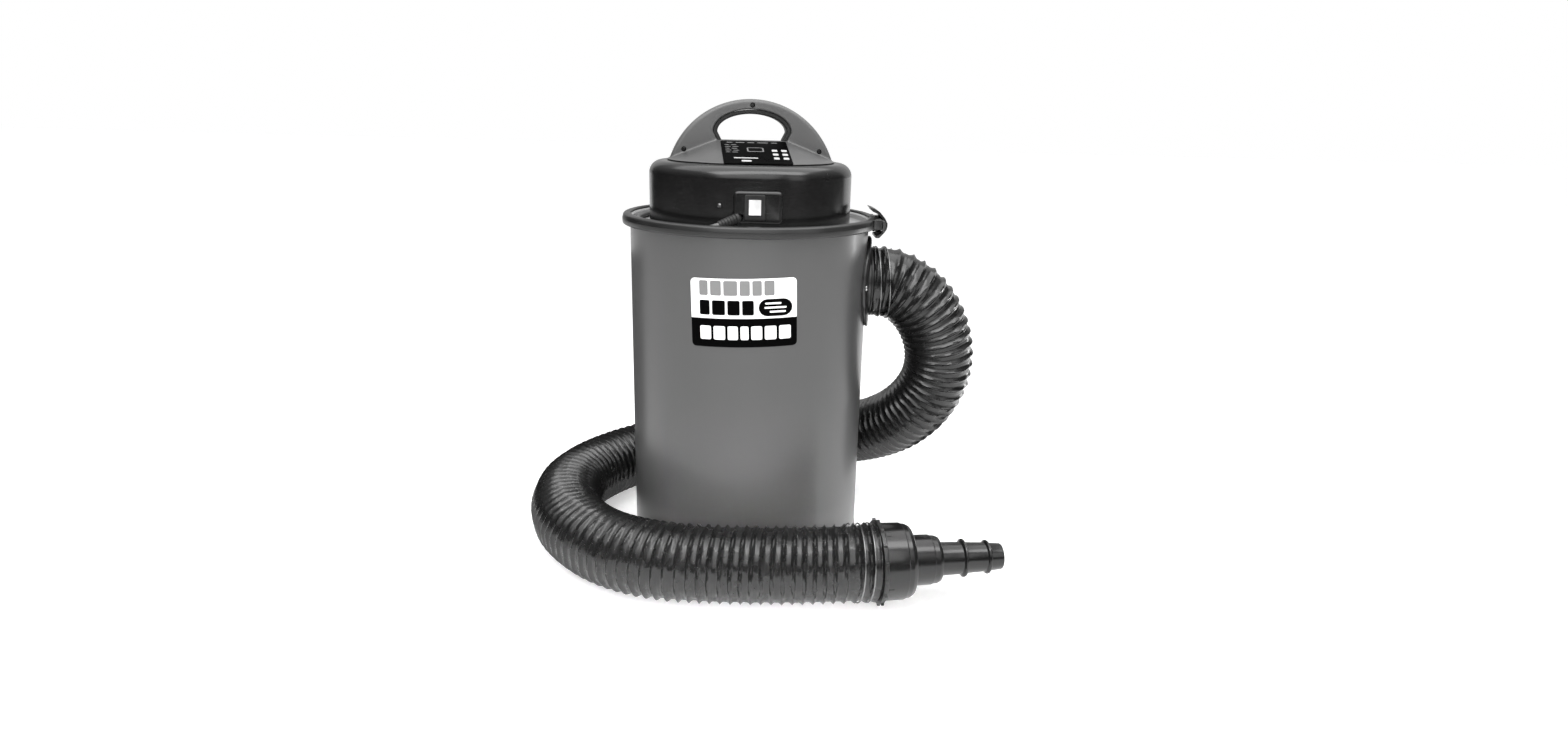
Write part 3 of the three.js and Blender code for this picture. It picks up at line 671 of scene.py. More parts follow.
def make_studio():
    world = bpy.data.worlds.new("studio")
    bpy.context.scene.world = world
    world.use_nodes = True
    tree = world.node_tree
    backdrop = tree.nodes["Background"]
    backdrop.inputs["Color"].default_value = (1, 1, 1, 1)
    # White behind the object; a softer sky for what it reflects and receives.
    rays = tree.nodes.new("ShaderNodeLightPath")
    strength = tree.nodes.new("ShaderNodeMapRange")
    strength.inputs["To Min"].default_value = 0.62
    strength.inputs["To Max"].default_value = 1.0
    tree.links.new(rays.outputs["Is Camera Ray"], strength.inputs["Value"])
    tree.links.new(strength.outputs["Result"], backdrop.inputs["Strength"])
    bpy.context.scene.view_settings.view_transform = "Standard"

    pale = new_material("floor_pale", 0.88, 0.6)
    shade(pale, "Roughness", remap(pale, speckle(pale, 6), 0.55, 0.65))
    shader = pale.node_tree.nodes["Principled BSDF"]
    shader.inputs["Emission Color"].default_value = (1, 1, 1, 1)
    shader.inputs["Emission Strength"].default_value = 0.45  # the far floor meets the backdrop without a line
    edge = 20
    corners = [(-edge, -edge, 0), (edge, -edge, 0), (edge, edge, 0), (-edge, edge, 0)]
    floor = from_points("floor", corners, [(0, 1, 2, 3)], pale)
    floor.location.z = -0.0005

    # A dark flag beside and behind the camera, thinning upwards, gives the gloss something dark to mirror.
    dark = new_material("flag_dark", 0.004, 1.0)
    shade(dark, "Alpha", remap(dark, own_height(dark), 1.0, 0.0, 0.9, 3.4))
    flag = curved_flag("flag", 3.2, 0.05, 3.6, -235, 39, dark)
    # Low ones close behind the object keep the bright floor out of the drum's two rims.
    low_grey = new_material("low_flag_grey", 0.12, 1.0)
    left_flag = curved_flag("left_flag", 0.42, 0.05, 0.40, 97, 172, low_grey)
    right_flag = curved_flag("right_flag", 0.42, 0.0, 0.14, 5, 82, low_grey)

    target = (0, 0, 0.35)
    area_light("overhead", (0.2, -0.85, 2.3), target, 3.4, 0.9, 62)
    area_light("front", (-0.1, -1.95, 1.75), target, 2.8, 1.3, 22)
    canopy = area_light("canopy", (-0.1, 0.45, 2.3), target, 3.6, 1.7, 40)
    canopy.visible_diffuse = False  # it only widens the overhead light's mirror image
    area_light("strip", (1.35, 0.62, 0.17), (0, 0, 0.25), 0.10, 0.30, 1.6)
    area_light("fill", (1.9, -1.5, 1.3), target, 0.8, 1.4, 5)
    low_fill = area_light("low_fill", (-0.2, -2.3, 0.14), (0, 0, 0.10), 2.6, 0.22, 17)
    low_fill.visible_glossy = False
    foot_fill = area_light("foot_fill", (-0.05, -1.7, 0.75), (-0.02, -0.18, 0.06), 0.5, 0.08, 0.65)
    foot_fill.visible_glossy = False
    foot_fill.data.spread = math.radians(16)


make_camera()
make_studio()


# ------------------------------------------------------------------ hose
HOSE_ROUTE = [
    (0.188, 0, 0.412),
    (0.196, 0, 0.412),
    (0.204, 0, 0.412),
    (0.213, 0, 0.4116),
    (0.225, 0, 0.4086),
    (0.241, -0.001, 0.401),
    (0.262, -0.001, 0.386),
    (0.288, 0.003, 0.352),
    (0.305, 0.010, 0.303),
    (0.304, 0.021, 0.253),
    (0.288, 0.039, 0.208),
    (0.263, 0.064, 0.171),
    (0.235, 0.095, 0.143),
    (0.205, 0.130, 0.120),
    (0.174, 0.166, 0.101),
    (0.140, 0.200, 0.085),
    (0.101, 0.230, 0.072),
    (0.057, 0.252, 0.062),
    (0.007, 0.262, 0.057),
    (-0.043, 0.258, 0.056),
    (-0.091, 0.242, 0.056),
    (-0.134, 0.216, 0.056),
    (-0.174, 0.184, 0.056),
    (-0.212, 0.149, 0.056),
    (-0.244, 0.110, 0.056),
    (-0.270, 0.066, 0.056),
    (-0.285, 0.018, 0.056),
    (-0.287, -0.033, 0.056),
    (-0.278, -0.083, 0.056),
    (-0.259, -0.130, 0.056),
    (-0.230, -0.172, 0.056),
    (-0.193, -0.206, 0.056),
    (-0.149, -0.231, 0.056),
    (-0.100, -0.246, 0.056),
    (-0.049, -0.253, 0.0568),
    (0.002, -0.257, 0.058),
    (0.052, -0.260, 0.0596),
    (0.103, -0.261, 0.0618),
    (0.150, -0.2612, 0.0644),
    (0.166, -0.2596, 0.065),
    (0.182, -0.2577, 0.065),
]
HOSE_PITCH = 0.0138  # from one turn of the wire helix to the next
HOSE_END = Vector(HOSE_ROUTE[-1])
TAIL_TURN = Matrix.Rotation(math.atan2(4, 34), 3, "Z") @ TO_X


def on_tail(piece):
    """Moves a piece made along +Z to the hose's free end."""
    return moved(piece, TAIL_TURN, HOSE_END)


def make_hose():
    """Film sagging between the turns of a wire helix, closed inside by a smooth bore."""
    steps_per_turn, sides = 11, 60
    step = HOSE_PITCH / steps_per_turn
    sag_depth, seam_height, crease_height = 0.0052, 0.0009, 0.0012
    seat_run, seat_lead = 0.03, 0.006  # the film lies tighter over its ends
    path = smooth_route(HOSE_ROUTE, step)
    total = path_length(path)
    spacing = total / (len(path) - 1)
    frames = frames_along(path)

    def outside(i, angle):
        walked = i * spacing
        phase = (walked / HOSE_PITCH - angle / FULL_TURN) % 1
        seat = min(1, (walked + seat_lead) / seat_run, (total - walked + seat_lead) / seat_run)
        sag = sag_depth * math.sin(math.pi * phase) ** 0.75 * (0.45 + 0.55 * seat)
        seam = seam_height * math.exp(-(((phase - 0.5) / 0.09) ** 2))
        place = Vector((walked * 9, math.cos(angle) * 0.6, math.sin(angle) * 0.6))
        crease = crease_height * noise.noise(place * 7) * math.sin(math.pi * phase)
        return HOSE_RADIUS - sag + seam + crease

    # At the free end the film grips the spigot from outside, and a soft cuff lines it inside.
    grip_radius, cuff_radius, cuff_bore = 0.0492, 0.0450, 0.0438
    grip, cuff = 0.024, 0.036
    centre, side, up = frames[-1]
    heading = (path[-1] - path[-2]).normalized()
    ahead = [(centre + heading * (cuff * k / 6), side, up) for k in range(1, 7)]
    gripped = [f for i, f in enumerate(frames[::4]) if total - i * 4 * spacing < grip]
    bored = [f for i, f in enumerate(frames[::11]) if total - i * 11 * spacing > grip]
    stretches = [
        (frames, outside),
        (list(reversed(gripped)), lambda i, angle: grip_radius),
        (gripped + ahead, lambda i, angle: cuff_radius),
        (list(reversed(gripped + ahead)), lambda i, angle: cuff_bore),
        (list(reversed(bored)), lambda i, angle: grip_radius - 0.0014 * (i < len(bored) - 2)),
    ]
    points = [point for line, radius in stretches for point in tube_rings(line, sides, radius)]
    faces = grid_faces(len(points) // sides, sides, close_rows=True)
    hose = from_points("flexible_hose", points, faces, HOSE_VINYL, 60)
    line = path + [place for place, _, _ in ahead]
    return stands_for(hose, "drum", "hose_black", "hose"), line


def wire_clip(name, start, sign, block_turn):
    """Two turns of bright wire lying in the hose's groove, pulled up by a screw block."""
    turns, steps, pitch = 2.15, 150, HOSE_PITCH
    radius, wire_radius, first_angle = HOSE_RADIUS - 0.0012, 0.0011, 0.9
    path = []
    for i in range(steps + 1):
        angle = FULL_TURN * turns * i / steps + first_angle
        along = sign * pitch * turns * i / steps
        path.append(Vector((radius * math.cos(angle), radius * math.sin(angle), start + along)))
    wire = solid_tube(name, path, wire_radius, 10, WIRE_STEEL)
    middle = start + sign * pitch * turns / 2
    block = extruded("block", rectangle(0.0066, 0.009, 0.002), -0.010, 0.010, WIRE_STEEL, 0.0008)
    moved(block, None, (radius + 0.0022, 0, middle))
    bolt_outline = [
        (0, -0.012, 0),
        (0.0016, -0.012, 0),
        (0.0016, 0.010, 0),
        (0.0028, 0.010, 0.0004),
        (0.0028, 0.0125, 0.0008),
        (0, 0.0125, 0),
    ]
    bolt = turned("bolt", bolt_outline, WIRE_STEEL, 6)
    moved(bolt, turn_x(90), (radius + 0.0026, 0, middle))
    clip = merged(name, [wire, block, bolt])
    return moved(clip, turn_z(block_turn))


def make_clips():
    inlet = wire_clip("inlet_wire_clip", 0.004, 1, 50)
    moved(inlet, TO_X, PORT)
    outlet = on_tail(wire_clip("outlet_wire_clip", -0.006, -1, 60))
    stands_for(inlet, "drum", "bright_steel", "hose_clip_inlet")
    stands_for(outlet, "drum", "bright_steel", "hose_clip_outlet")
    return inlet, outlet


def make_collar():
    """Bayonet ring: a thin black flange with lugs, locked on the reducer's spigot."""
    profile = section(0.0500, 0.0575, 0.0006, 0.0066, 0.0005, 0.001, 0.001, 0.0005)
    ring = turned("ring", profile, TRIM_BLACK, MEDIUM)
    lug_corners = [
        (0.055, -0.0032, 0),
        (0.0605, -0.0012, 0.0008),
        (0.0605, 0.0016, 0.0008),
        (0.055, 0.0034, 0),
    ]
    lugs = around(15, lambda: extruded("lug", rounded(lug_corners), 0.0014, 0.0058, TRIM_BLACK, 0.0005), 5)
    collar = on_tail(join(ring, *lugs))
    collar.name = "bayonet_collar"
    return stands_for(collar, "drum", "trim_black", "hose_collar")


def make_reducer():
    """Stepped adapter: a wide cup, a middle step and a tapered nozzle with two barbs."""
    outline = [
        (0.0455, -0.022, 0.0005),
        (0.0486, -0.021, 0.001),
        (0.0488, 0.0072, 0),
        (0.0533, 0.0072, 0.0005),
        (0.0529, 0.0360, 0.0006),
        (0.0515, 0.0372, 0.0006),
        (0.0510, 0.0430, 0.0015),
        (0.0480, 0.0490, 0.0035),
        (0.0352, 0.0502, 0.001),
        (0.0346, 0.0775, 0.0006),
        (0.0334, 0.0785, 0.0006),
        (0.0330, 0.0855, 0.0015),
        (0.0310, 0.0904, 0.002),
        (0.0234, 0.0914, 0.001),
        (0.0223, 0.1225, 0.0006),
        (0.0266, 0.1245, 0.0012),
        (0.0266, 0.1274, 0.0012),
        (0.0217, 0.1288, 0.0006),
        (0.0203, 0.1575, 0.0006),
        (0.0236, 0.1594, 0.0012),
        (0.0236, 0.1622, 0.0012),
        (0.0199, 0.1636, 0.0006),
        (0.0184, 0.1804, 0.0008),
        (0.0178, 0.1820, 0.0006),
        (0.0140, 0.1820, 0.0006),
        (0.0184, 0.0925, 0.001),
        (0.0310, 0.0840, 0.002),
        (0.0310, 0.0540, 0.002),
        (0.0455, 0.0450, 0.003),
    ]
    body = turned("stepped_adapter", outline, REDUCER_BLACK, MEDIUM)

    def make_rib():
        rib = extruded("rib", rectangle(0.0016, 0.007, 0.0006), 0.0078, 0.016, REDUCER_BLACK, 0.0004)
        return moved(rib, None, (0.0531, 0, 0))

    join(body, *around(4, make_rib, 20))
    return stands_for(on_tail(body), "drum", "cover_black", "stepped_reducer")


hose, hose_path = make_hose()
inlet_clip, outlet_clip = make_clips()
collar = make_collar()
reducer = make_reducer()


# ------------------------------------------------------------------ mains lead
CORD_EXIT = Vector((-0.017, -0.150, 0.521))
CORD_HEADING = Vector((-0.86, -0.38, -0.33)).normalized()
TROUGH_RADIUS = 0.1685
TROUGH_HEIGHT = 0.50365


def on_circle(radius, degrees, height):
    angle = math.radians(degrees)
    return (radius * math.cos(angle), radius * math.sin(angle), height)


LEAD_ROUTE = [
    *(CORD_EXIT + CORD_HEADING * reach for reach in (-0.004, 0.008, 0.020, 0.032)),
    (-0.060, -0.1575, 0.5062),
    *(on_circle(TROUGH_RADIUS, degrees, TROUGH_HEIGHT) for degrees in range(-120, -241, -12)),
    on_circle(0.1688, 124, 0.506),
    on_circle(0.1710, 117, 0.513),
    on_circle(0.1760, 110, 0.519),
    (-0.053, 0.1695, 0.5204),
    (-0.0495, 0.174, 0.521),
    (-0.046, 0.1785, 0.521),
    (-0.0423, 0.1845, 0.5208),
    (-0.0389, 0.1955, 0.5177),
    (-0.0375, 0.204, 0.5108),
    (-0.037, 0.210, 0.500),
    (-0.037, 0.213, 0.485),
    (-0.037, 0.214, 0.460),
    (-0.037, 0.213, 0.400),
    (-0.037, 0.212, 0.340),
    (-0.037, 0.211, 0.280),
    (-0.037, 0.210, 0.230),
    (-0.037, 0.211, 0.195),
    (-0.037, 0.215, 0.166),
    (-0.037, 0.224, 0.141),
    (-0.037, 0.239, 0.123),
    (-0.037, 0.258, 0.1175),
    (-0.037, 0.283, 0.1125),
    (-0.037, 0.304, 0.097),
    (-0.037, 0.317, 0.077),
    (-0.037, 0.321, 0.056),
    (-0.037, 0.3235, 0.034),
    (-0.037, 0.331, 0.0155),
    (-0.037, 0.345, 0.0065),
    (-0.037, 0.363, 0.0048),
    (-0.037, 0.384, 0.0048),
]
COIL_CENTRE = Vector((0.014, 0.400))
COIL_RADIUS = 0.051
COIL_LEAVE = math.radians(64)
COIL_PASSES = 3  # whole turns before the last part turn
LEAVE_HEADING = Vector((math.sin(COIL_LEAVE), -math.cos(COIL_LEAVE), 0))
PLUG_REACH = 0.062
PLUG_TURN = math.degrees(math.atan2(LEAVE_HEADING.y, LEAVE_HEADING.x))


def along_leave(distance, height, outward=0.0):
    out = Vector((math.cos(COIL_LEAVE), math.sin(COIL_LEAVE), 0))
    start = Vector((*COIL_CENTRE, 0)) + out * (COIL_RADIUS + outward)
    return start + LEAVE_HEADING * distance + Vector((0, 0, height))


def coil_points():
    """Turns that lie in a bundle of four strands, each a quarter turn round the bundle on."""
    bundle = CORD_RADIUS * math.sqrt(2) * 1.01
    lift = bundle + CORD_RADIUS + 0.0006
    whole = (math.pi - COIL_LEAVE) / FULL_TURN + COIL_PASSES
    count = 110
    points = []
    for i in range(1, count + 1):
        passes = whole * i / count
        settled = min(1, passes / 0.12)
        strand = -math.pi / 2 * (1 + passes)
        radius = COIL_RADIUS + bundle * math.cos(strand) * settled
        height = lift + bundle * math.sin(strand)
        angle = math.pi - FULL_TURN * passes
        x = COIL_CENTRE.x + radius * math.cos(angle)
        y = COIL_CENTRE.y + radius * math.sin(angle)
        points.append((x, y, height))
    return points


def make_lead():
    end = coil_points()[-1]
    outward = (Vector(end[:2]) - COIL_CENTRE).length - COIL_RADIUS
    run_off = []
    for share in (0.16, 0.36, 0.56, 0.76, 0.92):
        ease = 1 - share * share * (3 - 2 * share)
        run_off.append(along_leave(PLUG_REACH * share, 0.0048 + (end[2] - 0.0048) * ease, outward * ease))
    path = smooth_route(LEAD_ROUTE + coil_points() + run_off, 0.004)
    lead = solid_tube("mains_lead", path, CORD_RADIUS, 16, CORD_SHEATH)
    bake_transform(lead)
    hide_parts(*(f"mains_cord_{stretch}" for stretch in ("on_lid", "drop", "coil", "tail")))
    return lead, path


def make_cord_tie():
    """Hook-and-loop strap round the coil's strands, with its free tab."""
    strands = CORD_RADIUS * (1 + math.sqrt(2)) + 0.0002
    outside, half_width = strands + 0.0007, 0.006
    profile = [(strands, -half_width), (strands, half_width), (outside, half_width), (outside, -half_width)]
    band = turned("band", [(*corner, 0.0002) for corner in profile], STRAP_RUBBER_AND_GRIP_SHADE, SMALL)
    moved(band, turn_x(90))
    tab = extruded("tab", rectangle(0.016, 0.012, 0.003), 0, 0.001, STRAP_RUBBER_AND_GRIP_SHADE, 0.0002)
    moved(tab, Matrix.Rotation(math.radians(-24), 3, "Y"), (0.008, 0, strands + 0.0002))
    tie = merged("cord_tie", [band, tab], STRAP_RUBBER_AND_GRIP_SHADE)
    height = CORD_RADIUS * (1 + math.sqrt(2)) + 0.0008
    moved(tie, None, (COIL_RADIUS, 0, height))
    moved(tie, turn_z(-70), (*COIL_CENTRE, 0))
    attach(tie, "drum")
    return tie


def make_plug():
    """A plain three-pin plug: two-part body, fuse door, ribbed sleeve and brass pins."""
    height = 0.0225
    near_side = [(-0.025, -0.022, 0.008), (0.018, -0.025, 0.012), (0.025, -0.014, 0.008)]
    far_side = [(x, -y, fillet) for x, y, fillet in reversed(near_side)]
    body = extruded("body", rounded(near_side + far_side), 0, height, TRIM_BLACK, 0.0025)
    recess = height - 0.001
    door_outline = rectangle(0.026, 0.008, 0.0012, -0.006, 0)
    door = extruded("door", door_outline, recess, height + 0.0006, TRIM_BLACK, 0.0003)
    sleeve_outline = [(0.0045, 0, 0)]
    for k in range(6):
        base = 0.0016 * k
        outer = 0.0066 - 0.00016 * k
        sleeve_outline += [(outer, base, 0.0002), (outer, base + 0.001, 0.0002)]
        sleeve_outline.append((outer - 0.0008, base + 0.0011, 0))
    sleeve_outline.append((0.0045, 0.0095, 0))
    sleeve = turned("sleeve", sleeve_outline, TRIM_BLACK, SMALL)
    moved(sleeve, Matrix.Rotation(-math.pi / 2, 3, "Y"), (-0.0225, 0, 0.0066))
    pins = []
    for width, depth, x, y, reach in (
        (0.004, 0.008, 0.014, 0, 0.0207),
        (0.0064, 0.004, -0.0082, 0.011, 0.0167),
        (0.0064, 0.004, -0.0082, -0.011, 0.0167),
    ):
        shape = rectangle(width, depth, 0.0006, x, y)
        pins.append(extruded("pin", shape, recess, height + reach, PIN_BRASS, 0.0006))
    plug = merged("three_pin_plug", [body, door, sleeve, *pins])
    moved(plug, turn_z(PLUG_TURN), along_leave(PLUG_REACH + 0.025, GAP))
    return stands_for(plug, "drum", "trim_black", "mains_plug")


def make_gland():
    """Tapered, ringed strain relief that guides the lead out of the cover."""
    outline = [(0.0048, -0.006, 0), (0.0078, -0.002, 0.0005), (0.0078, 0.0012, 0.0008)]
    for k in range(6):
        base = 0.003 + 0.0042 * k
        outer = 0.0068 - 0.0002 * k
        outline.append((outer - 0.0009, base - 0.0008, 0.0003))
        outline += [(outer, base, 0.0003), (outer, base + 0.0026, 0.0003)]
    outline += [(0.0050, 0.0275, 0.0004), (0.0048, 0.0275, 0)]
    gland = turned("cord_sleeve", outline, SEAL_RUBBER, SMALL)
    moved(gland, Vector((0, 0, 1)).rotation_difference(CORD_HEADING), CORD_EXIT)
    return stands_for(gland, "head", "seal_rubber", "cord_gland")


lead, lead_path = make_lead()
gland = make_gland()
tie = make_cord_tie()
plug = make_plug()


# ------------------------------------------------------------------ drum
def make_drum():
    """Rolled and welded shell: curled rim, pressed floor and a chime to stand on."""
    wall = 0.0012
    inner = DRUM_RADIUS - wall
    outline = [
        (0, 0.0024, 0),
        (0.060, 0.0024, 0.004),
        (0.064, 0.0010, 0.004),
        (0.110, 0.0010, 0.004),
        (0.114, 0.0024, 0.004),
        (0.166, 0.0024, 0.002),
        (0.1705, 0.0000, 0.0015),
        (0.1795, 0.0000, 0.0022),
        (0.1816, 0.0030, 0.0015),
        (0.1816, 0.0086, 0.0018),
        (DRUM_RADIUS, 0.0112, 0.002),
        (DRUM_RADIUS, DRUM_TOP - 0.0080, 0.001),
        (BEAD_RADIUS, DRUM_TOP - 0.0062, 0.0026),
        (BEAD_RADIUS, DRUM_TOP - 0.0001, 0.0032),
        (inner, DRUM_TOP - 0.0001, 0.003),
        (inner, 0.013, 0.001),
        (0.1700, 0.0036, 0.003),
        (0.1140, 0.0036, 0.004),
        (0.1100, 0.0022, 0.004),
        (0.0640, 0.0022, 0.004),
        (0.0600, 0.0036, 0.004),
        (0, 0.0036, 0),
    ]
    drum = turned("drum_body", outline, DRUM_PAINT, FINE)
    port = turned("port", section(0, 0.0492, 0.1, 0.26), DRUM_PAINT, MEDIUM)
    cut(drum, moved(port, TO_X, (0, 0, PORT.z)))
    seam_turn = turn_z(128)
    root, crest = DRUM_RADIUS - 0.0004, DRUM_RADIUS + 0.0010
    seam = rounded([(root, -0.007, 0), (crest, -0.0062, 0.0006), (crest, 0.0062, 0.0006), (root, 0.007, 0)])
    lap = extruded("lap", seam, 0.0125, DRUM_TOP - 0.0090, DRUM_PAINT, 0.0003)
    moved(lap, seam_turn)
    spots = []
    spot_outline = [(0, 0, 0), (0.0026, 0, 0), (0.0020, 0.0005, 0.0003), (0, 0.0001, 0)]
    for k in range(15):
        spot = turned("spot", spot_outline, DRUM_PAINT, 16)
        moved(spot, TO_X, (DRUM_RADIUS + 0.0008, 0, 0.030 + 0.0325 * k))
        spots.append(moved(spot, seam_turn))
    drum = merged("drum_body", [drum, lap, *spots], DRUM_PAINT)
    return stands_for(drum, "drum", "drum_paint", "drum_shell")


def pan_screw(name, radius, height, material, recess=0.0012):
    """A pan-head screw along +Z with a cross recess, its underside at height zero."""
    outline = [
        (0, -0.002, 0),
        (radius * 0.5, -0.002, 0),
        (radius * 0.5, 0, 0),
        (radius, 0, 0.0002),
        (radius, height * 0.45, radius * 0.25),
        (radius * 0.62, height, radius * 0.5),
        (0, height, 0),
    ]
    head = turned(name, outline, material, SMALL)
    bar = rectangle(radius * 1.15, radius * 0.26, radius * 0.08)
    for degrees in (30, 120):
        slot = extruded("slot", bar, height - recess, height + 0.01, material)
        cut(head, moved(slot, turn_z(degrees)))
    return head


def saddle(name, profile, material):
    """A ring round the port that follows the drum, through (reach, radius about the drum's axis) corners."""
    points = []
    for i in range(MEDIUM):
        angle = FULL_TURN * i / MEDIUM
        for reach, radius in profile:
            y, z = reach * math.cos(angle), reach * math.sin(angle)
            points.append((math.sqrt(radius * radius - y * y), y, PORT.z + z))
    return from_points(name, points, grid_faces(MEDIUM, len(profile), close_rows=True), material, 40)


def make_inlet():
    """Saddle flange that follows the drum, with a rim, a hub and four screws."""
    base = DRUM_RADIUS + 0.0018
    centre_hole, reach = 0.0495, 0.0700
    profile = [
        (centre_hole, base),
        (0.0560, base),
        (reach - 0.0012, base),
        (reach, base + 0.0012),
        (reach, base + 0.0030),
        (reach - 0.0016, base + 0.0043),
        (0.0625, base + 0.0043),
        (0.0610, base + 0.0034),
        (0.0585, base + 0.0034),
        (0.0570, base + 0.0046),
        (centre_hole, base + 0.0050),
    ]
    plate = saddle("port_flange", profile, TRIM_BLACK)
    spigot_outline = [
        (0.0460, 0.1775, 0.0006),
        (0.0488, 0.1775, 0),
        (0.0488, 0.2004, 0.001),
        (0.0460, 0.2010, 0.0006),
    ]
    spigot = turned("spigot", spigot_outline, TRIM_BLACK, MEDIUM)
    neck_outline = section(0.0485, 0.0520, 0.1846, 0.1872, 0, 0.0006, 0.0006, 0)
    neck = turned("neck", neck_outline, TRIM_BLACK, MEDIUM)
    for tube in (spigot, neck):
        moved(tube, TO_X, (0, 0, PORT.z))
    flange = merged("port_flange", [plate, spigot, neck], TRIM_BLACK)
    stands_for(flange, "drum", "trim_black", "inlet_flange")

    gasket_profile = [
        (centre_hole, DRUM_RADIUS + 0.0003),
        (0.0684, DRUM_RADIUS + 0.0003),
        (0.0688, DRUM_RADIUS + 0.0010),
        (0.0684, base - 0.0002),
        (centre_hole, base - 0.0002),
    ]
    gasket = saddle("port_gasket", gasket_profile, SEAL_RUBBER)
    stands_for(gasket, "drum", "seal_rubber", "inlet_gasket")

    for i in range(4):
        low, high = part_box(f"inlet_screw_{i + 1}")
        middle = (low + high) / 2
        tilt = math.degrees(math.asin(middle.y / (base + 0.003)))
        head = pan_screw(f"port_screw_{i + 1}", 0.0045, 0.0026, BRIGHT_STEEL)
        x = math.sqrt((base + 0.0034) ** 2 - middle.y ** 2)
        moved(head, turn_z(tilt) @ TO_X, (x, middle.y, middle.z))
        stands_for(head, "drum", "bright_steel", f"inlet_screw_{i + 1}")


def film(name, shapes, surface):
    """Thin printed patches in one piece. A shape is (width, height, corner, x, y, level, material)."""
    arc_steps, flat_step = 4, 0.005
    points, faces, face_materials, materials = [], [], [], []
    for width, height, corner, x, y, level, material in shapes:
        columns = []
        arcs = [corner * (1 - math.cos(math.pi / 2 * k / arc_steps)) for k in range(arc_steps + 1)]
        flat = width - 2 * corner
        flat_steps = max(1, round(flat / flat_step))
        middle = [corner + flat * k / flat_steps for k in range(1, flat_steps)]
        offsets = arcs + middle + [width - a for a in reversed(arcs)]
        for offset in offsets:
            inward = corner - min(offset, width - offset)
            lost = corner - math.sqrt(max(0, corner ** 2 - max(0, inward) ** 2))
            columns.append((x - width / 2 + offset, height / 2 - lost))
        first = len(points)
        for across, half in columns:
            for up, lift in ((-half, 0), (half, 0), (half, level), (-half, level)):
                points.append(surface(across, y + up, lift))
        patch = grid_faces(len(columns), 4) + end_faces(4 * len(columns), 4)
        faces += [tuple(first + index for index in face) for face in patch]
        face_materials += [material] * len(patch)
        if material not in materials:
            materials.append(material)
    mesh = bpy.data.meshes.new(name)
    mesh.from_pydata(points, [], faces)
    for material in materials:
        mesh.materials.append(material)
    for polygon, material in zip(mesh.polygons, face_materials):
        polygon.material_index = materials.index(material)
    work = bmesh.new()
    work.from_mesh(mesh)
    bmesh.ops.recalc_face_normals(work, faces=work.faces)
    work.to_mesh(mesh)
    work.free()
    mesh.shade_smooth()
    mesh.set_sharp_from_angle(angle=math.radians(30))
    return linked(bpy.data.objects.new(name, mesh))


def blocks(widths, height, left, y, level, material, space=0.0032):
    """A row of plain rounded blocks, in place of lettering."""
    shapes = []
    x = left
    for width in widths:
        shapes.append((width, height, 0.0022, x + width / 2, y, level, material))
        x += width + space
    return shapes


def make_label():
    """The front label: white field over a black band, with plain blocks and an air-flow sign."""
    low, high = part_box("front_label")
    middle = (low.z + high.z) / 2
    turn = math.radians(-1.6)
    tilt = math.radians(1.7)

    def on_drum(across, along, lift):
        x = across * math.cos(tilt) - along * math.sin(tilt)
        y = across * math.sin(tilt) + along * math.cos(tilt)
        radius = DRUM_RADIUS + GAP + lift
        depth = -math.sqrt(radius * radius - x * x)
        turned_x = x * math.cos(turn) - depth * math.sin(turn)
        turned_y = x * math.sin(turn) + depth * math.cos(turn)
        return (turned_x, turned_y, middle + y)

    thin, second, third = 0.0006, 0.0007, 0.0008
    band_top = -0.0075
    band_height = 0.0475 + band_top
    shapes = [
        (0.145, 0.095, 0.006, 0, 0, thin, PRINT_WHITE),
        (0.1452, band_height + 0.0001, 0.0056, 0, band_top - band_height / 2, second, PRINT_BLACK),
        (0.1452, 0.012, 0.0004, 0, band_top - 0.006, second, PRINT_BLACK),
    ]
    left = -0.0605
    top_row = [0.012, 0.015, 0.019, 0.014, 0.013, 0.014]
    middle_row = [0.014, 0.018, 0.017, 0.016]
    band_row = [0.015, 0.016, 0.014, 0.011, 0.015, 0.016, 0.016]
    sign_x, sign_y, bar_pitch = 0.0435, 0.0075, 0.0058
    shapes += blocks(top_row, 0.0205, left, 0.0345, second, PRINT_GREY)
    shapes += blocks(middle_row, 0.0205, left, sign_y, second, PRINT_BLACK)
    shapes += blocks(band_row, 0.0190, left, -0.0275, third, PRINT_WHITE, 0.0036)
    shapes.append((0.046, 0.024, 0.012, sign_x, sign_y, second, PRINT_BLACK))
    for k, (width, shift) in enumerate(((0.022, 0.003), (0.030, 0), (0.022, -0.003))):
        bar_y = sign_y + bar_pitch * (k - 1)
        shapes.append((width, 0.0024, 0.0011, sign_x + shift, bar_y, third, PRINT_WHITE))
    label = film("label_print", shapes, on_drum)
    return stands_for(label, "drum", "label_print", "front_label")


# ------------------------------------------------------------------ lid, band and latch
def make_lid():
    """Pressed steel lid: an enamelled trough round the motor, with a rolled edge."""
    outline = [
        (0.045, 0.4974, 0.0004),
        (0.1712, 0.4974, 0.003),
        (0.1752, 0.5008, 0.002),
        (0.1769, 0.5072, 0.001),
        (0.1790, 0.5084, 0.001),
        (0.1872, 0.5084, 0.0004),
        (0.1872, 0.5103, 0.0004),
        (0.1782, 0.5103, 0.0015),
        (0.1757, 0.5085, 0.0015),
        (0.1736, 0.5018, 0.003),
        (0.1706, 0.4990, 0.003),
        (0.045, 0.4990, 0.0004),
    ]
    lid = turned("lid_trough", outline, LID_PAINT, FINE)
    stands_for(lid, "head", "lid_paint", "lid_pan")
    seal = section(0.1796, 0.1862, DRUM_TOP + 0.0002, 0.5081, 0.0008, 0.0008, 0.0006, 0.0006)
    stands_for(turned("lid_seal", seal, SEAL_RUBBER, FINE), "head", "seal_rubber", "lid_gasket")


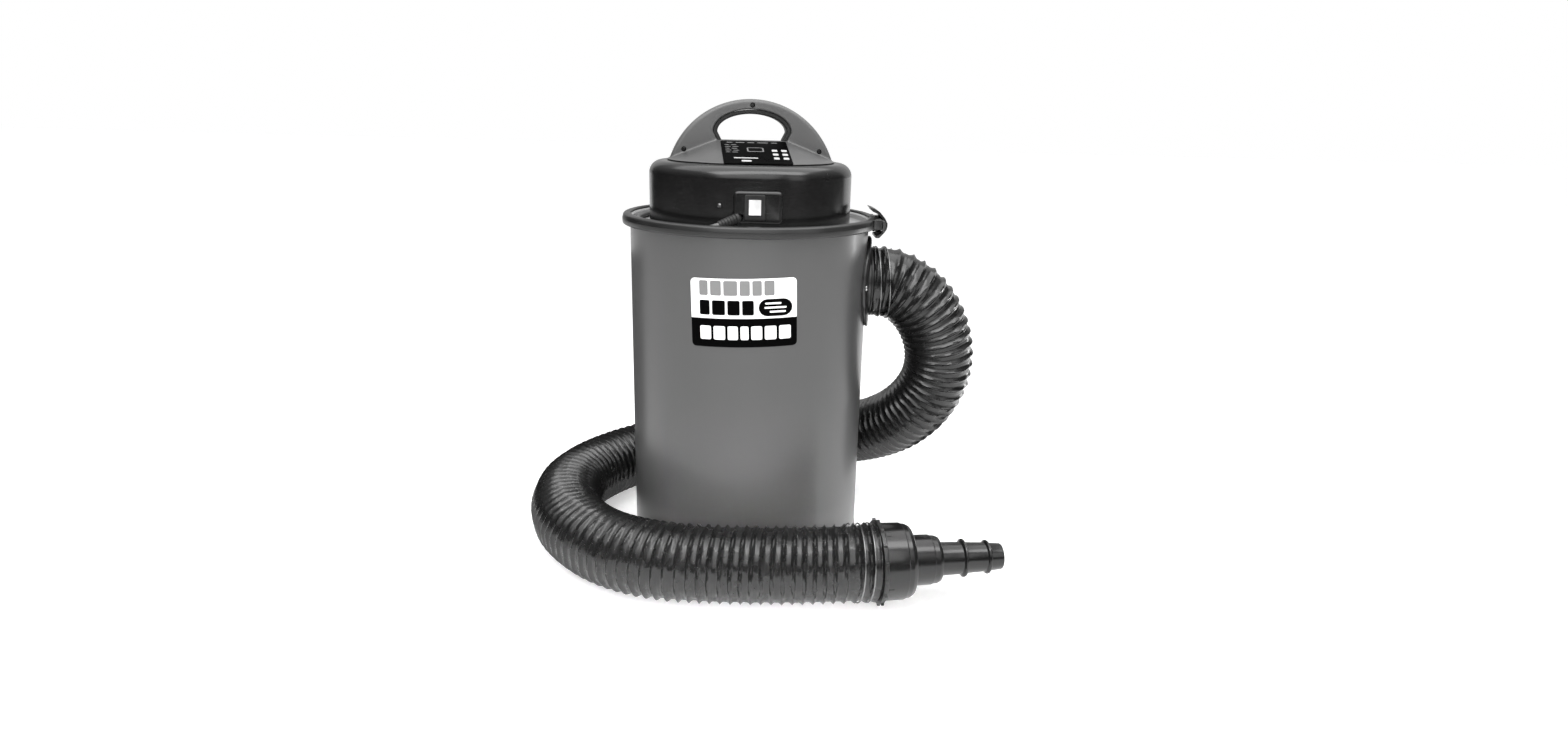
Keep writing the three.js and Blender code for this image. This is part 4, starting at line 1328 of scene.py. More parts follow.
def make_band():
    """Rolled clamping band, open at the latch."""
    lip = BEAD_RADIUS + 0.0018
    outline = [
        (0.1786, 0.5116, 0.0003),
        (0.1800, 0.5135, 0.002),
        (0.1850, BAND_HIGH, 0.004),
        (0.1900, 0.5125, 0.004),
        (BAND_RADIUS, 0.5060, 0.004),
        (BAND_RADIUS - 0.0003, BAND_LOW, 0.0024),
        (lip, BAND_LOW, 0.0004),
        (lip, 0.4996, 0.0004),
        (0.1886, 0.5014, 0.0015),
        (0.1888, 0.5095, 0.0015),
        (0.1850, 0.5108, 0.001),
    ]
    start = math.radians(-3.0)
    band = turned("rolled_band", outline, TRIM_BLACK, FINE, start, FULL_TURN - math.radians(1.8))
    return stands_for(band, "head", "trim_black", "clamp_band")


def machined(node, material, edge=0.0006):
    """Keeps a CAD node's shape and gives it broken edges and its own material."""
    piece = nodes[node]
    weld = piece.modifiers.new("weld", "WELD")
    weld.merge_threshold = 1e-5
    flat = piece.modifiers.new("flat", "DECIMATE")
    flat.decimate_type = "DISSOLVE"
    flat.angle_limit = math.radians(1)
    bevel = piece.modifiers.new("edges", "BEVEL")
    bevel.width = edge
    bevel.segments = 3
    bevel.limit_method = "ANGLE"
    bevel.angle_limit = math.radians(35)
    bevel.harden_normals = True
    piece.data.shade_smooth()
    piece.data.materials.clear()
    piece.data.materials.append(material)
    return piece


def make_latch():
    machined("latch_bracket", TRIM_BLACK)
    machined("latch_lever", LATCH_BLACK, 0.0009)
    machined("latch_catch", TRIM_BLACK)
    machined("latch_link", DARK_STEEL, 0.0005)
    machined("latch_pin", BRIGHT_STEEL, 0.0004)


# ------------------------------------------------------------------ motor cover
def make_cover():
    """Gloss cover: round shoulder, switch boss at the front and cooling slots at the back."""
    wall, shoulder, boss_height = 0.003, 0.028, 0.536
    outline = [
        (COVER_RADIUS - wall, COVER_FOOT, 0.0006),
        (COVER_RADIUS, COVER_FOOT, 0.0008),
        (COVER_RADIUS, COVER_TOP, shoulder),
        (0.112, COVER_TOP, 0.0006),
        (0.112, COVER_TOP - wall, 0.0004),
        (COVER_RADIUS - wall, COVER_TOP - wall, shoulder - wall),
    ]
    cover = turned("cover_shell", outline, COVER_BLACK, FINE, fillet_steps=16)
    face = -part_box("motor_cover")[0].y
    boss_outline = rectangle(0.067, 0.044, 0.007, 0.012, boss_height)
    depths = [
        (0.0, -0.146),
        (0.0, -face + 0.0034),
        (0.0006, -face + 0.0020),
        (0.0018, -face + 0.0008),
        (0.0032, -face + 0.0002),
        (0.0046, -face),
    ]
    boss = upright_loft("boss", boss_outline, depths, COVER_BLACK)
    cut(boss, turned("inner", section(0, COVER_RADIUS - 0.002, 0.48, 0.6), COVER_BLACK, FINE))
    join(cover, boss)
    hole = extruded("hole", rectangle(0.0238, 0.0298, 0.001, 0.008, boss_height), -0.02, 0.03, COVER_BLACK)
    moved(hole, turn_x(90), (0, -0.148, 0))
    cord_way = turned("way", section(0, 0.0081, -0.02, 0.02), COVER_BLACK, SMALL)
    moved(cord_way, Vector((0, 0, 1)).rotation_difference(CORD_HEADING), CORD_EXIT)
    cut(cover, hole, cord_way)
    slots, slot_pitch = 9, 7
    for i in range(slots):
        slot = extruded("slot", rectangle(0.007, 0.032, 0.0034), -0.015, 0.015, COVER_BLACK)
        moved(slot, turn_x(90), (0, COVER_RADIUS, boss_height))
        cut(cover, moved(slot, turn_z((i - (slots - 1) / 2) * slot_pitch)))
    return stands_for(cover, "head", "cover_black", "motor_cover")


def make_switch():
    """White rocker with two sloping faces in a black bezel."""
    low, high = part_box("switch_bezel")
    centre = (low + high) / 2
    face = low.y
    frame_outline = rectangle(0.028, 0.034, 0.0025)
    opening = rectangle(0.0174, 0.0212, 0.0012)
    levels = [(0.0, face + 0.0020), (0.0, face + 0.0010), (0.0005, face + 0.0002), (0.0013, face)]
    rim = upright_loft("bezel_rim", frame_outline, levels, TRIM_BLACK)
    body_levels = [(0, face + 0.0012), (0, face + 0.022)]
    body = upright_loft("body", rectangle(0.0226, 0.0286, 0.001), body_levels, TRIM_BLACK)
    pocket_levels = [(-0.001, face - 0.001), (-0.0006, face + 0.0004), (0, face + 0.0012), (0, face + 0.009)]
    pocket = upright_loft("pocket", opening, pocket_levels, TRIM_BLACK)
    bezel = cut(join(rim, body), pocket)
    moved(bezel, None, (centre.x, 0, centre.z))
    stands_for(bezel, "head", "trim_black", "switch_bezel")

    pivot = Vector((centre.x, -0.1536, centre.z))
    half_width, half_height, half_steps = 0.0083, 0.0102, 8
    profile = []
    for k in range(-half_steps, half_steps + 1):
        bulge = 0.0013 * (abs(k) / half_steps) ** 1.6
        profile.append((-0.0036 - bulge, half_height * k / half_steps))
    profile += [(0.0016, 0.0070), (0.0016, -0.0070)]
    sides = [(-half_width, 0.0006), (-half_width + 0.0006, 0), (half_width - 0.0006, 0), (half_width, 0.0006)]
    outlines = []
    for x, inset in sides:
        outline = shrunk([Vector(p) for p in profile], inset)
        outlines.append([(x, p.x, p.y) for p in outline])
    rocker = lofted("rocker", outlines, SWITCH_WHITE, 40)
    moved(rocker, turn_x(-6), pivot)
    stands_for(rocker, "switch", "switch_white", "switch_rocker")


# ------------------------------------------------------------------ handle
ARCH_HALF = 0.017
GRIP_HALF_WIDTH = 0.051
GRIP_TOP = 0.6575
ROOF_TOP = 0.620
# width of the dark ring in the hand hole, whose colour is painted shade
SHADE_RING_WIDTH = 0.0065
HANDLE_TURN = 5.6  # degrees; the handle sits a little askew of the switch


def grip_outline(out, foot, steps=48):
    """The hand hole, grown by out: straight sides below a half ellipse."""
    shoulder = 0.632
    a, b = GRIP_HALF_WIDTH + out, GRIP_TOP - shoulder + out
    angles = [math.pi * k / steps for k in range(steps + 1)]
    arc = [Vector((a * math.cos(angle), shoulder + b * math.sin(angle))) for angle in angles]
    return [Vector((a - 0.006, foot)), *arc, Vector((-a + 0.006, foot))]


def arch_outline(inset, steps=96):
    radius, centre = 0.1275 - inset, 0.551
    low = math.asin((HANDLE_FOOT - 0.004 - centre) / radius)
    angles = [low + (math.pi - 2 * low) * k / steps for k in range(steps + 1)]
    return [Vector((radius * math.cos(a), centre + radius * math.sin(a))) for a in angles]


def make_handle():
    """Two moulded halves: an arch with soft edges that grows out of a low roof."""
    parting = -0.0002
    fillet = 0.0055
    fillets = [math.pi / 2 * k / 5 for k in range(6)]
    levels = [(0.0, parting)]
    levels += [(fillet * (1 - math.cos(a)), -ARCH_HALF + fillet * (1 - math.sin(a))) for a in fillets]
    arch = lofted("arch", [[(p.x, y, p.y) for p in arch_outline(i)] for i, y in levels], HANDLE_GREY)
    mouth = 0.0022
    flare = [(0.0, 0.01)]
    flare += [(mouth * (1 - math.cos(a)), -ARCH_HALF + mouth * (1 - math.sin(a))) for a in fillets]
    flare += [(mouth, -0.03)]
    hole_rings = [[(p.x, y, p.y) for p in grip_outline(SHADE_RING_WIDTH + i, ROOF_TOP)] for i, y in flare]
    hole = lofted("hole", hole_rings, HANDLE_GREY)

    flat = ROOF_RADIUS - 0.010
    work = bmesh.new()
    for k in range(MEDIUM + 1):
        angle = -math.pi * k / MEDIUM
        y = max(-flat, ROOF_RADIUS * math.sin(angle))
        work.verts.new((ROOF_RADIUS * math.cos(angle), min(y, parting), HANDLE_FOOT))
    for x in (-0.050, 0.050):
        for y in (-ARCH_HALF, parting):
            work.verts.new((x, y, ROOF_TOP))
    bmesh.ops.convex_hull(work, input=work.verts)
    mesh = bpy.data.meshes.new("roof")
    work.to_mesh(mesh)
    work.free()
    roof = new_piece("roof", mesh, HANDLE_GREY)

    half = join(cut(arch, hole), roof)
    below = extruded("below", rectangle(0.4, 0.4, 0.01), 0.4, HANDLE_FOOT, HANDLE_GREY)
    cut(half, below)
    soften = half.modifiers.new("soften", "REMESH")
    soften.mode = "VOXEL"
    soften.voxel_size = 0.0013
    smooth = half.modifiers.new("smooth", "SMOOTH")
    smooth.factor = 0.5
    smooth.iterations = 7
    evaluated(half)
    half.data.materials.clear()
    half.data.materials.append(HANDLE_GREY)
    half.data.shade_smooth()

    rear = linked(half.copy())
    rear.data = half.data.copy()
    rear.name = "handle_back"
    work = bmesh.new()
    work.from_mesh(rear.data)
    bmesh.ops.scale(work, vec=(1, -1, 1), verts=work.verts)
    bmesh.ops.reverse_faces(work, faces=work.faces)
    work.to_mesh(rear.data)
    work.free()

    half.name = "handle_face"
    screws = ((0, 0.670), (-0.100, 0.606), (0.100, 0.606))
    well_outline = [
        (0, -0.004, 0),
        (0.0030, -0.004, 0),
        (0.0038, -0.0032, 0),
        (0.0038, 0.004, 0),
        (0, 0.004, 0),
    ]
    for x, z in screws:
        well = turned("well", well_outline, HANDLE_GREY, SMALL)
        cut(half, moved(well, turn_x(90), (x, -ARCH_HALF, z)))
    half.data.set_sharp_from_angle(angle=math.radians(40))
    moved(half, turn_z(HANDLE_TURN))
    moved(rear, turn_z(HANDLE_TURN))
    for i, (x, z) in enumerate(screws):
        head = pan_screw(f"grip_screw_{i + 1}", 0.0034, 0.0020, DARK_STEEL, 0.0010)
        moved(head, turn_x(90), (x, -ARCH_HALF + 0.0034, z))
        moved(head, turn_z(HANDLE_TURN))
        stands_for(head, "head", "dark_steel", f"handle_screw_{i + 1}")
    stands_for(half, "head", "handle_grey", "handle_front")
    stands_for(rear, "head", "handle_grey", "handle_rear")


def make_grip_shade_ring():
    """Near-black ring that lines the hand hole; its dark colour is painted shade, standing in for the shade
    on the hole's rounded inner wall.
    """
    depth = 0.014
    profile = rounded(section(0.0, SHADE_RING_WIDTH - 0.0004, -depth, depth, 0.0022, 0.0006, 0.0006, 0.0022))
    rings = [[(p.x, corner.y, p.y) for p in grip_outline(corner.x, ROOF_TOP + 0.0004)] for corner in profile]
    count = len(rings[0])
    points = [ring[k] for k in range(count) for ring in rings]
    faces = grid_faces(count, len(rings)) + end_faces(len(points), len(rings))
    # The ring's near-black colour is painted shade inside the hand hole.
    shade_ring = from_points("grip_shade_ring", points, faces, STRAP_RUBBER_AND_GRIP_SHADE, 50)
    return stands_for(moved(shade_ring, turn_z(HANDLE_TURN)), "head", "seal_rubber", "grip_lining")


def make_info_panel():
    """Black panel on the roof's front slope, printed with plain bars and blank squares."""
    low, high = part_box("info_panel")
    slope = math.atan2(ROOF_TOP - HANDLE_FOOT, ROOF_RADIUS - 0.010 - ARCH_HALF)
    centre = Vector((0.0008, -0.0695, (low.z + high.z) / 2 - 0.0009))
    up = Vector((0, math.cos(slope), math.sin(slope)))
    out = Vector((0, -math.sin(slope), math.cos(slope)))

    def on_slope(x, y, lift):
        return centre + Vector((x, 0, 0)) + up * y + out * (lift - 0.0002)

    thin, second, third = 0.0008, 0.0009, 0.0010
    shapes = [(0.096, 0.098, 0.003, 0, 0, thin, PRINT_BLACK)]
    shapes += blocks([0.010, 0.014, 0.011, 0.017, 0.010], 0.0024, -0.040, 0.041, second, PRINT_GREY)
    for k in range(5):
        widths = [0.007 + 0.002 * (k % 2), 0.009]
        shapes += blocks(widths, 0.0020, -0.043, 0.030 - 0.008 * k, second, PRINT_GREY, 0.0018)
    for column in range(2):
        for row in range(3):
            x, y = 0.0272 + 0.0135 * column, 0.007 - 0.0165 * row
            shapes.append((0.0078, 0.0085, 0.0015, x, y, second, PRINT_PALE))
    shapes.append((0.024, 0.018, 0.003, 0.0, 0.010, second, PRINT_GREY))
    shapes.append((0.020, 0.014, 0.002, 0.0, 0.010, third, PRINT_BLACK))
    shapes.append((0.034, 0.0036, 0.0015, -0.016, -0.026, second, PRINT_PALE))
    shapes.append((0.014, 0.0060, 0.002, -0.016, -0.038, second, PRINT_PALE))
    panel = moved(film("panel_print", shapes, on_slope), turn_z(HANDLE_TURN))
    return stands_for(panel, "head", "label_print", "info_panel")


def make_clamp_screw():
    head = pan_screw("lead_clamp_screw", 0.0031, 0.0022, WIRE_STEEL, 0.001)
    moved(head, turn_x(90), (0, -COVER_RADIUS, 0.537))
    moved(head, turn_z(math.degrees(-0.27)))
    return stands_for(head, "head", "bright_steel", "cord_clamp_screw")


make_drum()
make_inlet()
make_label()
make_lid()
make_band()
make_latch()
make_cover()
make_switch()
make_handle()
make_grip_shade_ring()
make_info_panel()
make_clamp_screw()


# ------------------------------------------------------------------ motor and fans
CASING_FOOT, CASING_TOP = span("fan_casing")
CASING_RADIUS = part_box("fan_casing")[1].x
FRAME_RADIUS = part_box("motor_frame")[1].x
SHAFT_RADIUS = 0.004
ON_SHAFT = SHAFT_RADIUS + GAP


def vane(stations, thickness, low, top_at, material):
    """An upright curved blade through (radius, angle) stations; top_at gives its height at a radius."""
    line = [polar(radius, angle) for radius, angle in stations]
    points = []
    for i, place in enumerate(line):
        ahead = (line[min(i + 1, len(line) - 1)] - line[max(i - 1, 0)]).normalized()
        side = Vector((-ahead.y, ahead.x)) * thickness / 2
        high = top_at(stations[i][0])
        points += [(*(place + side), low), (*(place - side), low)]
        points += [(*(place - side), high), (*(place + side), high)]
    faces = grid_faces(len(line), 4) + end_faces(len(points), 4)
    return from_points("vane", points, faces, material, 40)


def vanes(count, inner, outer, sweep, thickness, low, top_at, material):
    steps, bend = 7, 1.3
    made = []
    for i in range(count):
        start = FULL_TURN * i / count
        stations = []
        for k in range(steps + 1):
            stations.append((inner + (outer - inner) * k / steps, start + sweep * (k / steps) ** bend))
        made.append(vane(stations, thickness, low, top_at, material))
    return made


def make_impeller(name, node):
    """Shrouded suction wheel: back plate, swept blades, dished shroud and riveted hub."""
    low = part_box(node)[0].z
    radius, eye, neck, lip, throat = 0.062, 0.024, 0.033, 0.010, 0.014
    plate_outline = section(ON_SHAFT, radius, low, low + 0.001, 0, 0.0003, 0.0003, 0)
    plate = turned("plate", plate_outline, CAST_ALLOY, MEDIUM)
    shroud_outline = [
        (radius, low + lip - 0.001, 0),
        (radius, low + lip, 0.0003),
        (neck + 0.001, low + throat - 0.003, 0.008),
        (eye, low + throat, 0.0003),
        (eye - 0.001, low + throat - 0.0006, 0),
        (neck, low + throat - 0.004, 0.008),
    ]
    shroud = turned("shroud", shroud_outline, CAST_ALLOY, MEDIUM)
    hub_outline = [
        (ON_SHAFT, low + 0.0005, 0),
        (0.011, low + 0.0005, 0),
        (0.011, low + 0.003, 0.001),
        (0.008, low + 0.004, 0.001),
        (0.008, low + throat, 0.0006),
        (ON_SHAFT, low + throat, 0),
    ]
    hub = turned("hub", hub_outline, CAST_ALLOY, SMALL)

    def under_shroud(at):
        return low + lip - 0.0006 + (throat - lip - 0.0006) * max(0, radius - at) / (radius - neck)

    blades = vanes(9, 0.027, 0.0612, -0.95, 0.0011, low + 0.0008, under_shroud, CAST_ALLOY)
    stands_for(merged(name, [plate, shroud, hub, *blades], CAST_ALLOY), "rotor", "cast_alloy", node)


def make_shaft():
    low, high = span("rotor_shaft")
    groove_low, groove_high, groove_radius = 0.523, 0.5238, 0.0036
    outline = [
        (0, low, 0),
        (0.0036, low, 0.0004),
        (SHAFT_RADIUS, low + 0.0006, 0),
        (SHAFT_RADIUS, groove_low - 0.0002, 0),
        (groove_radius, groove_low, 0),
        (groove_radius, groove_high, 0),
        (SHAFT_RADIUS, groove_high + 0.0002, 0),
        (SHAFT_RADIUS, high - 0.0012, 0),
        (0.0032, high, 0.0004),
        (0, high, 0),
    ]
    stands_for(turned("shaft", outline, BRIGHT_STEEL, SMALL), "rotor", "bright_steel", "rotor_shaft")


def make_cooling_fan():
    low, high = span("cooling_fan")
    outline = [
        (ON_SHAFT, low, 0),
        (0.040, low, 0.0003),
        (0.040, low + 0.001, 0.0003),
        (0.010, low + 0.001, 0.0006),
        (0.009, high, 0.0005),
        (ON_SHAFT, high, 0),
    ]
    plate = turned("plate", outline, TRIM_BLACK, MEDIUM)
    blades = vanes(11, 0.015, 0.0395, 0.25, 0.001, low + 0.0008, lambda at: high, TRIM_BLACK)
    stands_for(merged("cooling_wheel", [plate, *blades], TRIM_BLACK), "rotor", "trim_black", "cooling_fan")


def make_armature():
    """Slotted core with two layers of wire in each slot, and the commutator's bars."""
    low, high = span("armature")
    teeth = 12
    core = turned("core", section(ON_SHAFT, 0.028, low, high, 0, 0.0004, 0.0004, 0), DARK_STEEL, MEDIUM)
    slots, wires = [], []
    for i in range(teeth):
        turn = turn_z(360 / teeth * i)
        slot_outline = rectangle(0.012, 0.0026, 0.001, 0.0245, 0)
        slot = extruded("slot", slot_outline, low - 0.002, high + 0.002, DARK_STEEL)
        slots.append(moved(slot, turn))
        for radius in (0.0205, 0.0237):
            layer = rectangle(0.003, 0.0023, 0.001, radius, 0)
            wire = extruded("wire", layer, low - 0.0006, high + 0.0006, WINDING_COPPER, 0.0004)
            wires.append(moved(wire, turn))
    stands_for(merged("wound_core", [cut(core, *slots), *wires]), "rotor", "dark_steel", "armature")

    low, high = span("commutator")
    count = 24
    half = math.pi / count * 0.86
    corners = ((0.0075, -half), (0.012, -half), (0.012, 0), (0.012, half), (0.0075, half))
    outline = [polar(*corner) for corner in corners]
    bars = around(count, lambda: extruded("bar", outline, low + 0.0012, high, PIN_BRASS, 0.0002))
    sleeve_outline = [
        (ON_SHAFT, low, 0),
        (0.0118, low, 0.0003),
        (0.0118, low + 0.001, 0.0003),
        (0.0076, low + 0.0012, 0),
        (0.0076, high - 0.0006, 0),
        (ON_SHAFT, high - 0.0006, 0),
    ]
    sleeve = turned("sleeve", sleeve_outline, TRIM_BLACK, SMALL)
    stands_for(merged("commutator_bars", [sleeve, *bars]), "rotor", "copper_winding", "commutator")


def make_bearing(name, node):
    """Ball bearing: two rings and a recessed steel shield on each face."""
    low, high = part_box(node)
    outer, middle, half = high.x, (low.z + high.z) / 2, (high.z - low.z) / 2
    inner_edge, outer_edge = ON_SHAFT + 0.0016, outer - 0.0018
    lower = [
        (ON_SHAFT, -half, 0.0003),
        (inner_edge, -half, 0.0002),
        (inner_edge, -half + 0.0006, 0),
        (outer_edge, -half + 0.0008, 0),
        (outer_edge, -half, 0.0002),
        (outer, -half, 0.0004),
    ]
    upper = [(radius, -height, fillet) for radius, height, fillet in reversed(lower)]
    bearing = turned(name, lower + upper, BRIGHT_STEEL, SMALL)
    stands_for(moved(bearing, None, (0, 0, middle)), "head", "bright_steel", node)


def make_casing():
    """Pressed two-stage fan casing with a rolled waist and six outlets, on its gasket."""
    radius, sheet, waist = CASING_RADIUS, 0.002, 0.5265
    outline = [
        (0.026, CASING_FOOT, 0.0004),
        (radius, CASING_FOOT, 0.003),
        (radius, waist - 0.003, 0.001),
        (radius - 0.0012, waist - 0.0015, 0.001),
        (radius - 0.0012, waist + 0.0015, 0.001),
        (radius, waist + 0.003, 0.001),
        (radius, CASING_TOP, 0.004),
        (0.0115, CASING_TOP, 0.0004),
        (0.0115, CASING_TOP - sheet, 0.0004),
        (radius - sheet, CASING_TOP - sheet, 0.003),
        (radius - sheet, CASING_FOOT + sheet, 0.002),
        (0.026, CASING_FOOT + sheet, 0.0004),
    ]
    casing = turned("suction_casing", outline, BRIGHT_STEEL, MEDIUM)
    cut(casing, *side_holes(6, rectangle(0.012, 0.022, 0.004), 0.015, (radius, 0, 0.544), 0, BRIGHT_STEEL))
    stands_for(casing, "head", "bright_steel", "fan_casing")

    low, high = span("fan_diffuser")
    plate = turned("plate", section(0.022, radius - 0.0024, low, high, 0.0004), CAST_ALLOY, MEDIUM)
    guides = vanes(10, 0.028, 0.066, 1.1, 0.0012, high - 0.0002, lambda at: high + 0.0028, CAST_ALLOY)
    stands_for(merged("return_guide", [plate, *guides], CAST_ALLOY), "head", "cast_alloy", "fan_diffuser")

    seal = turned("casing_seal", section(0.050, 0.070, *span("motor_gasket"), 0.0008), SEAL_RUBBER, MEDIUM)
    stands_for(seal, "head", "seal_rubber", "motor_gasket")


def side_holes(count, outline, half_depth, place, first, material):
    """Cutting tools that run inwards through a round wall, spread evenly about Z."""
    def tool():
        hole = extruded("hole", outline, -half_depth, half_depth, material)
        return moved(hole, TO_X, place)
    return around(count, tool, first)


def make_motor_frame():
    """Cast housing with windows and ribs, and the laminated stator inside it."""
    low, high = span("motor_frame")
    radius, wall, cup, bore = FRAME_RADIUS, 0.0035, 0.016, SHAFT_RADIUS + 0.001
    outline = [
        (radius - wall, low, 0.0004),
        (radius, low, 0.0006),
        (radius, 0.604, 0.004),
        (cup, 0.606, 0.003),
        (cup, high, 0.0015),
        (bore, high, 0.0004),
        (bore, high - 0.002, 0),
        (0.0126, high - 0.002, 0.0004),
        (0.0126, 0.601, 0.001),
        (radius - wall, 0.601, 0.003),
    ]
    housing = turned("motor_housing", outline, CAST_ALLOY, MEDIUM)
    cut(housing, *side_holes(4, rectangle(0.010, 0.026, 0.003), 0.010, (radius, 0, 0.595), 45, CAST_ALLOY))
    rib = rectangle(0.026, 0.0022, 0.0008, 0.029, 0)
    ribs = around(4, lambda: extruded("rib", rib, 0.6035, 0.6075, CAST_ALLOY, 0.0005), 20)
    stands_for(join(housing, *ribs), "head", "cast_alloy", "motor_frame")

    low, high = span("stator_core")
    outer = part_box("stator_core")[1].x
    core_outline = section(0.029, outer, low, high, 0.0003, 0.0004, 0.0004, 0.0003)
    core = turned("core", core_outline, DARK_STEEL, MEDIUM)
    cut(core, *grooves(4, 0.0022, low - 0.002, high + 0.002, outer, 45, DARK_STEEL, 16))
    stands_for(core, "head", "dark_steel", "stator_core")


def grooves(count, radius, low, high, at, first, material, steps, fillet=0):
    """Upright round cutting tools on a circle about Z."""
    def tool():
        groove = turned("groove", section(0, radius, low, high, 0, 0, fillet, 0), material, steps)
        return moved(groove, None, (at, 0, 0))
    return around(count, tool, first)


def make_field_winding(word, turn):
    """The end of one field coil: strands bent round the stator."""
    arc_steps, half_arc = 24, 37
    strands = []
    for row in range(3):
        for column in range(2):
            radius, level = 0.0325 + 0.0036 * row, 0.5902 + 0.0024 * column
            arc = []
            for k in range(arc_steps + 1):
                angle = math.radians(-half_arc + 2 * half_arc * k / arc_steps)
                arc.append(Vector((radius * math.cos(angle), radius * math.sin(angle), level)))
            strands.append(solid_tube("strand", arc, 0.0015, 8, WINDING_COPPER))
    bundle = merged(f"coil_head_{word}", strands, WINDING_COPPER)
    stands_for(moved(bundle, turn), "head", "copper_winding", f"field_winding_{word}")


def make_brush_holder(word, turn):
    """Brass tube with its carbon brush and screw cap."""
    low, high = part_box(f"brush_holder_{word}")
    tube = extruded("tube", rectangle(0.022, 0.008, 0.0008), -0.003, 0.003, PIN_BRASS, 0.0006)
    brush_outline = rectangle(0.003, 0.0056, 0.0002, -0.0105, 0)
    brush = extruded("brush", brush_outline, -0.0021, 0.0021, DARK_STEEL, 0.0002)
    cap = turned("cap", section(0, 0.0027, 0.009, 0.0118, 0, 0.0002, 0.0004, 0), TRIM_BLACK, SMALL)
    moved(cap, TO_X)
    holder = moved(merged(f"brush_tube_{word}", [tube, brush, cap]), turn)
    stands_for(moved(holder, None, (low + high) / 2), "head", "copper_winding", f"brush_holder_{word}")


# ------------------------------------------------------------------ filter
def make_filter_paper():
    """Pleated paper: a zigzag wall of even thickness between the two caps."""
    pleats, paper_depth = 80, 0.0055
    outer_fold, inner_fold = 0.0895, 0.0705
    folds = ((-0.06, outer_fold), (0.06, outer_fold), (0.44, inner_fold), (0.56, inner_fold))
    points = []
    outer_edges = ((0, FILTER_LOW), (0, FILTER_HIGH))
    inner_edges = ((paper_depth, FILTER_HIGH), (paper_depth, FILTER_LOW))
    for inset, height in outer_edges + inner_edges:
        for i in range(pleats):
            for share, radius in folds:
                points.append((*polar(radius - inset, FULL_TURN * (i + share) / pleats), height))
    faces = grid_faces(4, 4 * pleats, close_rows=True)
    paper = from_points("pleated_paper", points, faces, FILTER_PAPER, 20)
    stands_for(paper, "head", "filter_paper", "filter_cartridge")


def make_filter_caps():
    """A rubber sealing cap on top and a ribbed moulding below."""
    rim = FILTER_RADIUS + 0.002
    low, high = span("filter_top_cap")
    step = low + 0.0076
    outline = [
        (0.052, low, 0.0005),
        (rim, low, 0.0008),
        (rim, low + 0.0062, 0.002),
        (FILTER_RADIUS - 0.004, step, 0.003),
        (FILTER_RADIUS - 0.008, high, 0.002),
        (FILTER_RADIUS - 0.020, high, 0.002),
        (FILTER_RADIUS - 0.024, step, 0.003),
        (0.052, step, 0.0008),
    ]
    stands_for(turned("top_seal", outline, SEAL_RUBBER, MEDIUM), "head", "seal_rubber", "filter_top_cap")

    low, high = span("filter_bottom_cap")
    outline = [
        (0.005, low + 0.002, 0.0004),
        (0.022, low + 0.002, 0.001),
        (0.025, low, 0.001),
        (0.031, low, 0.001),
        (0.034, low + 0.002, 0.002),
        (rim - 0.006, low + 0.001, 0.002),
        (rim - 0.002, low, 0.001),
        (rim, low + 0.001, 0.001),
        (rim, high, 0.0008),
        (0.005, high, 0.0004),
    ]
    cap = turned("bottom_cap", outline, TRIM_BLACK, MEDIUM)
    rib = rectangle(0.050, 0.0022, 0.0008, 0.059, 0)
    ribs = around(8, lambda: extruded("rib", rib, low + 0.0002, low + 0.004, TRIM_BLACK, 0.0005))
    stands_for(join(cap, *ribs), "head", "trim_black", "filter_bottom_cap")


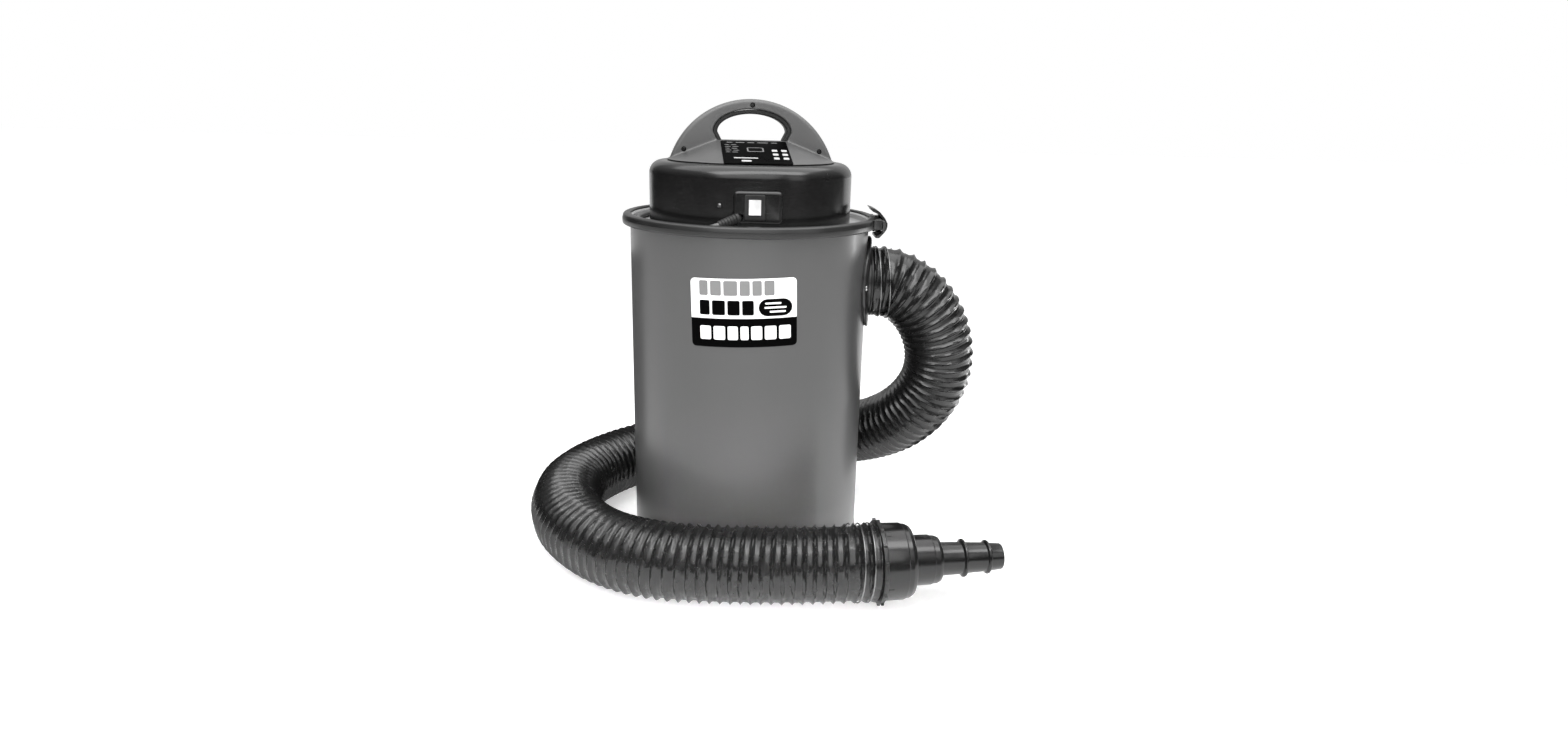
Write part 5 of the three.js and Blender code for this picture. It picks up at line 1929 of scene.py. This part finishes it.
def make_filter_stud():
    """Threaded rod that hangs from a boss with three arms."""
    low, high = span("filter_stud")
    core_radius, boss_foot = 0.0027, high - 0.0072
    pitch, turns, steps = 0.00125, 27, 14
    rod_outline = [
        (0, low, 0),
        (0.0024, low, 0.0004),
        (core_radius, low + 0.001, 0),
        (core_radius, low + 0.036, 0),
        (0.0032, low + 0.037, 0),
        (0.0032, high - 0.001, 0),
        (0, high - 0.001, 0),
    ]
    rod = turned("rod", rod_outline, BRIGHT_STEEL, SMALL)
    helix = []
    for k in range(turns * steps + 1):
        helix.append(Vector((*polar(core_radius, FULL_TURN * k / steps), low + 0.001 + pitch * k / steps)))
    thread = solid_tube("thread", helix, 0.00045, 6, BRIGHT_STEEL)
    boss = turned("boss", section(0, 0.009, boss_foot, high, 0, 0.0006, 0.0006, 0), BRIGHT_STEEL, SMALL)
    arm = rectangle(0.056, 0.006, 0.002, 0.034, 0)
    arms = around(3, lambda: extruded("arm", arm, high - 0.0031, high - 0.0001, BRIGHT_STEEL, 0.0006))
    stud = merged("threaded_stud", [rod, thread, boss, *arms], BRIGHT_STEEL)
    stands_for(stud, "head", "bright_steel", "filter_stud")


def make_filter_knob():
    """Fluted nut with two wings."""
    low, high = span("filter_knob")
    outline = [
        (0.004, low, 0.0005),
        (0.0095, low, 0.001),
        (0.0115, low + 0.003, 0.001),
        (0.012, high - 0.003, 0.001),
        (0.012, high, 0.0006),
        (0.004, high, 0.0005),
    ]
    hub = turned("hub", outline, TRIM_BLACK, MEDIUM)
    cut(hub, *grooves(12, 0.001, low - 0.002, high - 0.004, 0.0122, 15, TRIM_BLACK, 12, fillet=0.0006))
    wings = []
    for sign in (-1, 1):
        half = [
            (0.009, -0.0035, 0),
            (0.020, -0.0028, 0.0026),
            (0.022, 0, 0.0015),
            (0.020, 0.0028, 0.0026),
            (0.009, 0.0035, 0),
        ]
        shape = rounded([(sign * x, y, fillet) for x, y, fillet in half])
        wings.append(extruded("wing", shape if sign > 0 else shape[::-1], low, high, TRIM_BLACK, 0.0012))
    stands_for(join(hub, *wings), "filter_knob", "trim_black", "filter_knob")


make_shaft()
make_impeller("lower_wheel", "impeller_lower")
make_impeller("upper_wheel", "impeller_upper")
make_cooling_fan()
make_armature()
make_bearing("top_bearing", "upper_bearing")
make_bearing("foot_bearing", "lower_bearing")
make_casing()
make_motor_frame()
for side_word, side_turn in (("left", turn_z(180)), ("right", None)):
    make_field_winding(side_word, side_turn)
    make_brush_holder(side_word, side_turn)
make_filter_paper()
make_filter_caps()
make_filter_stud()
make_filter_knob()
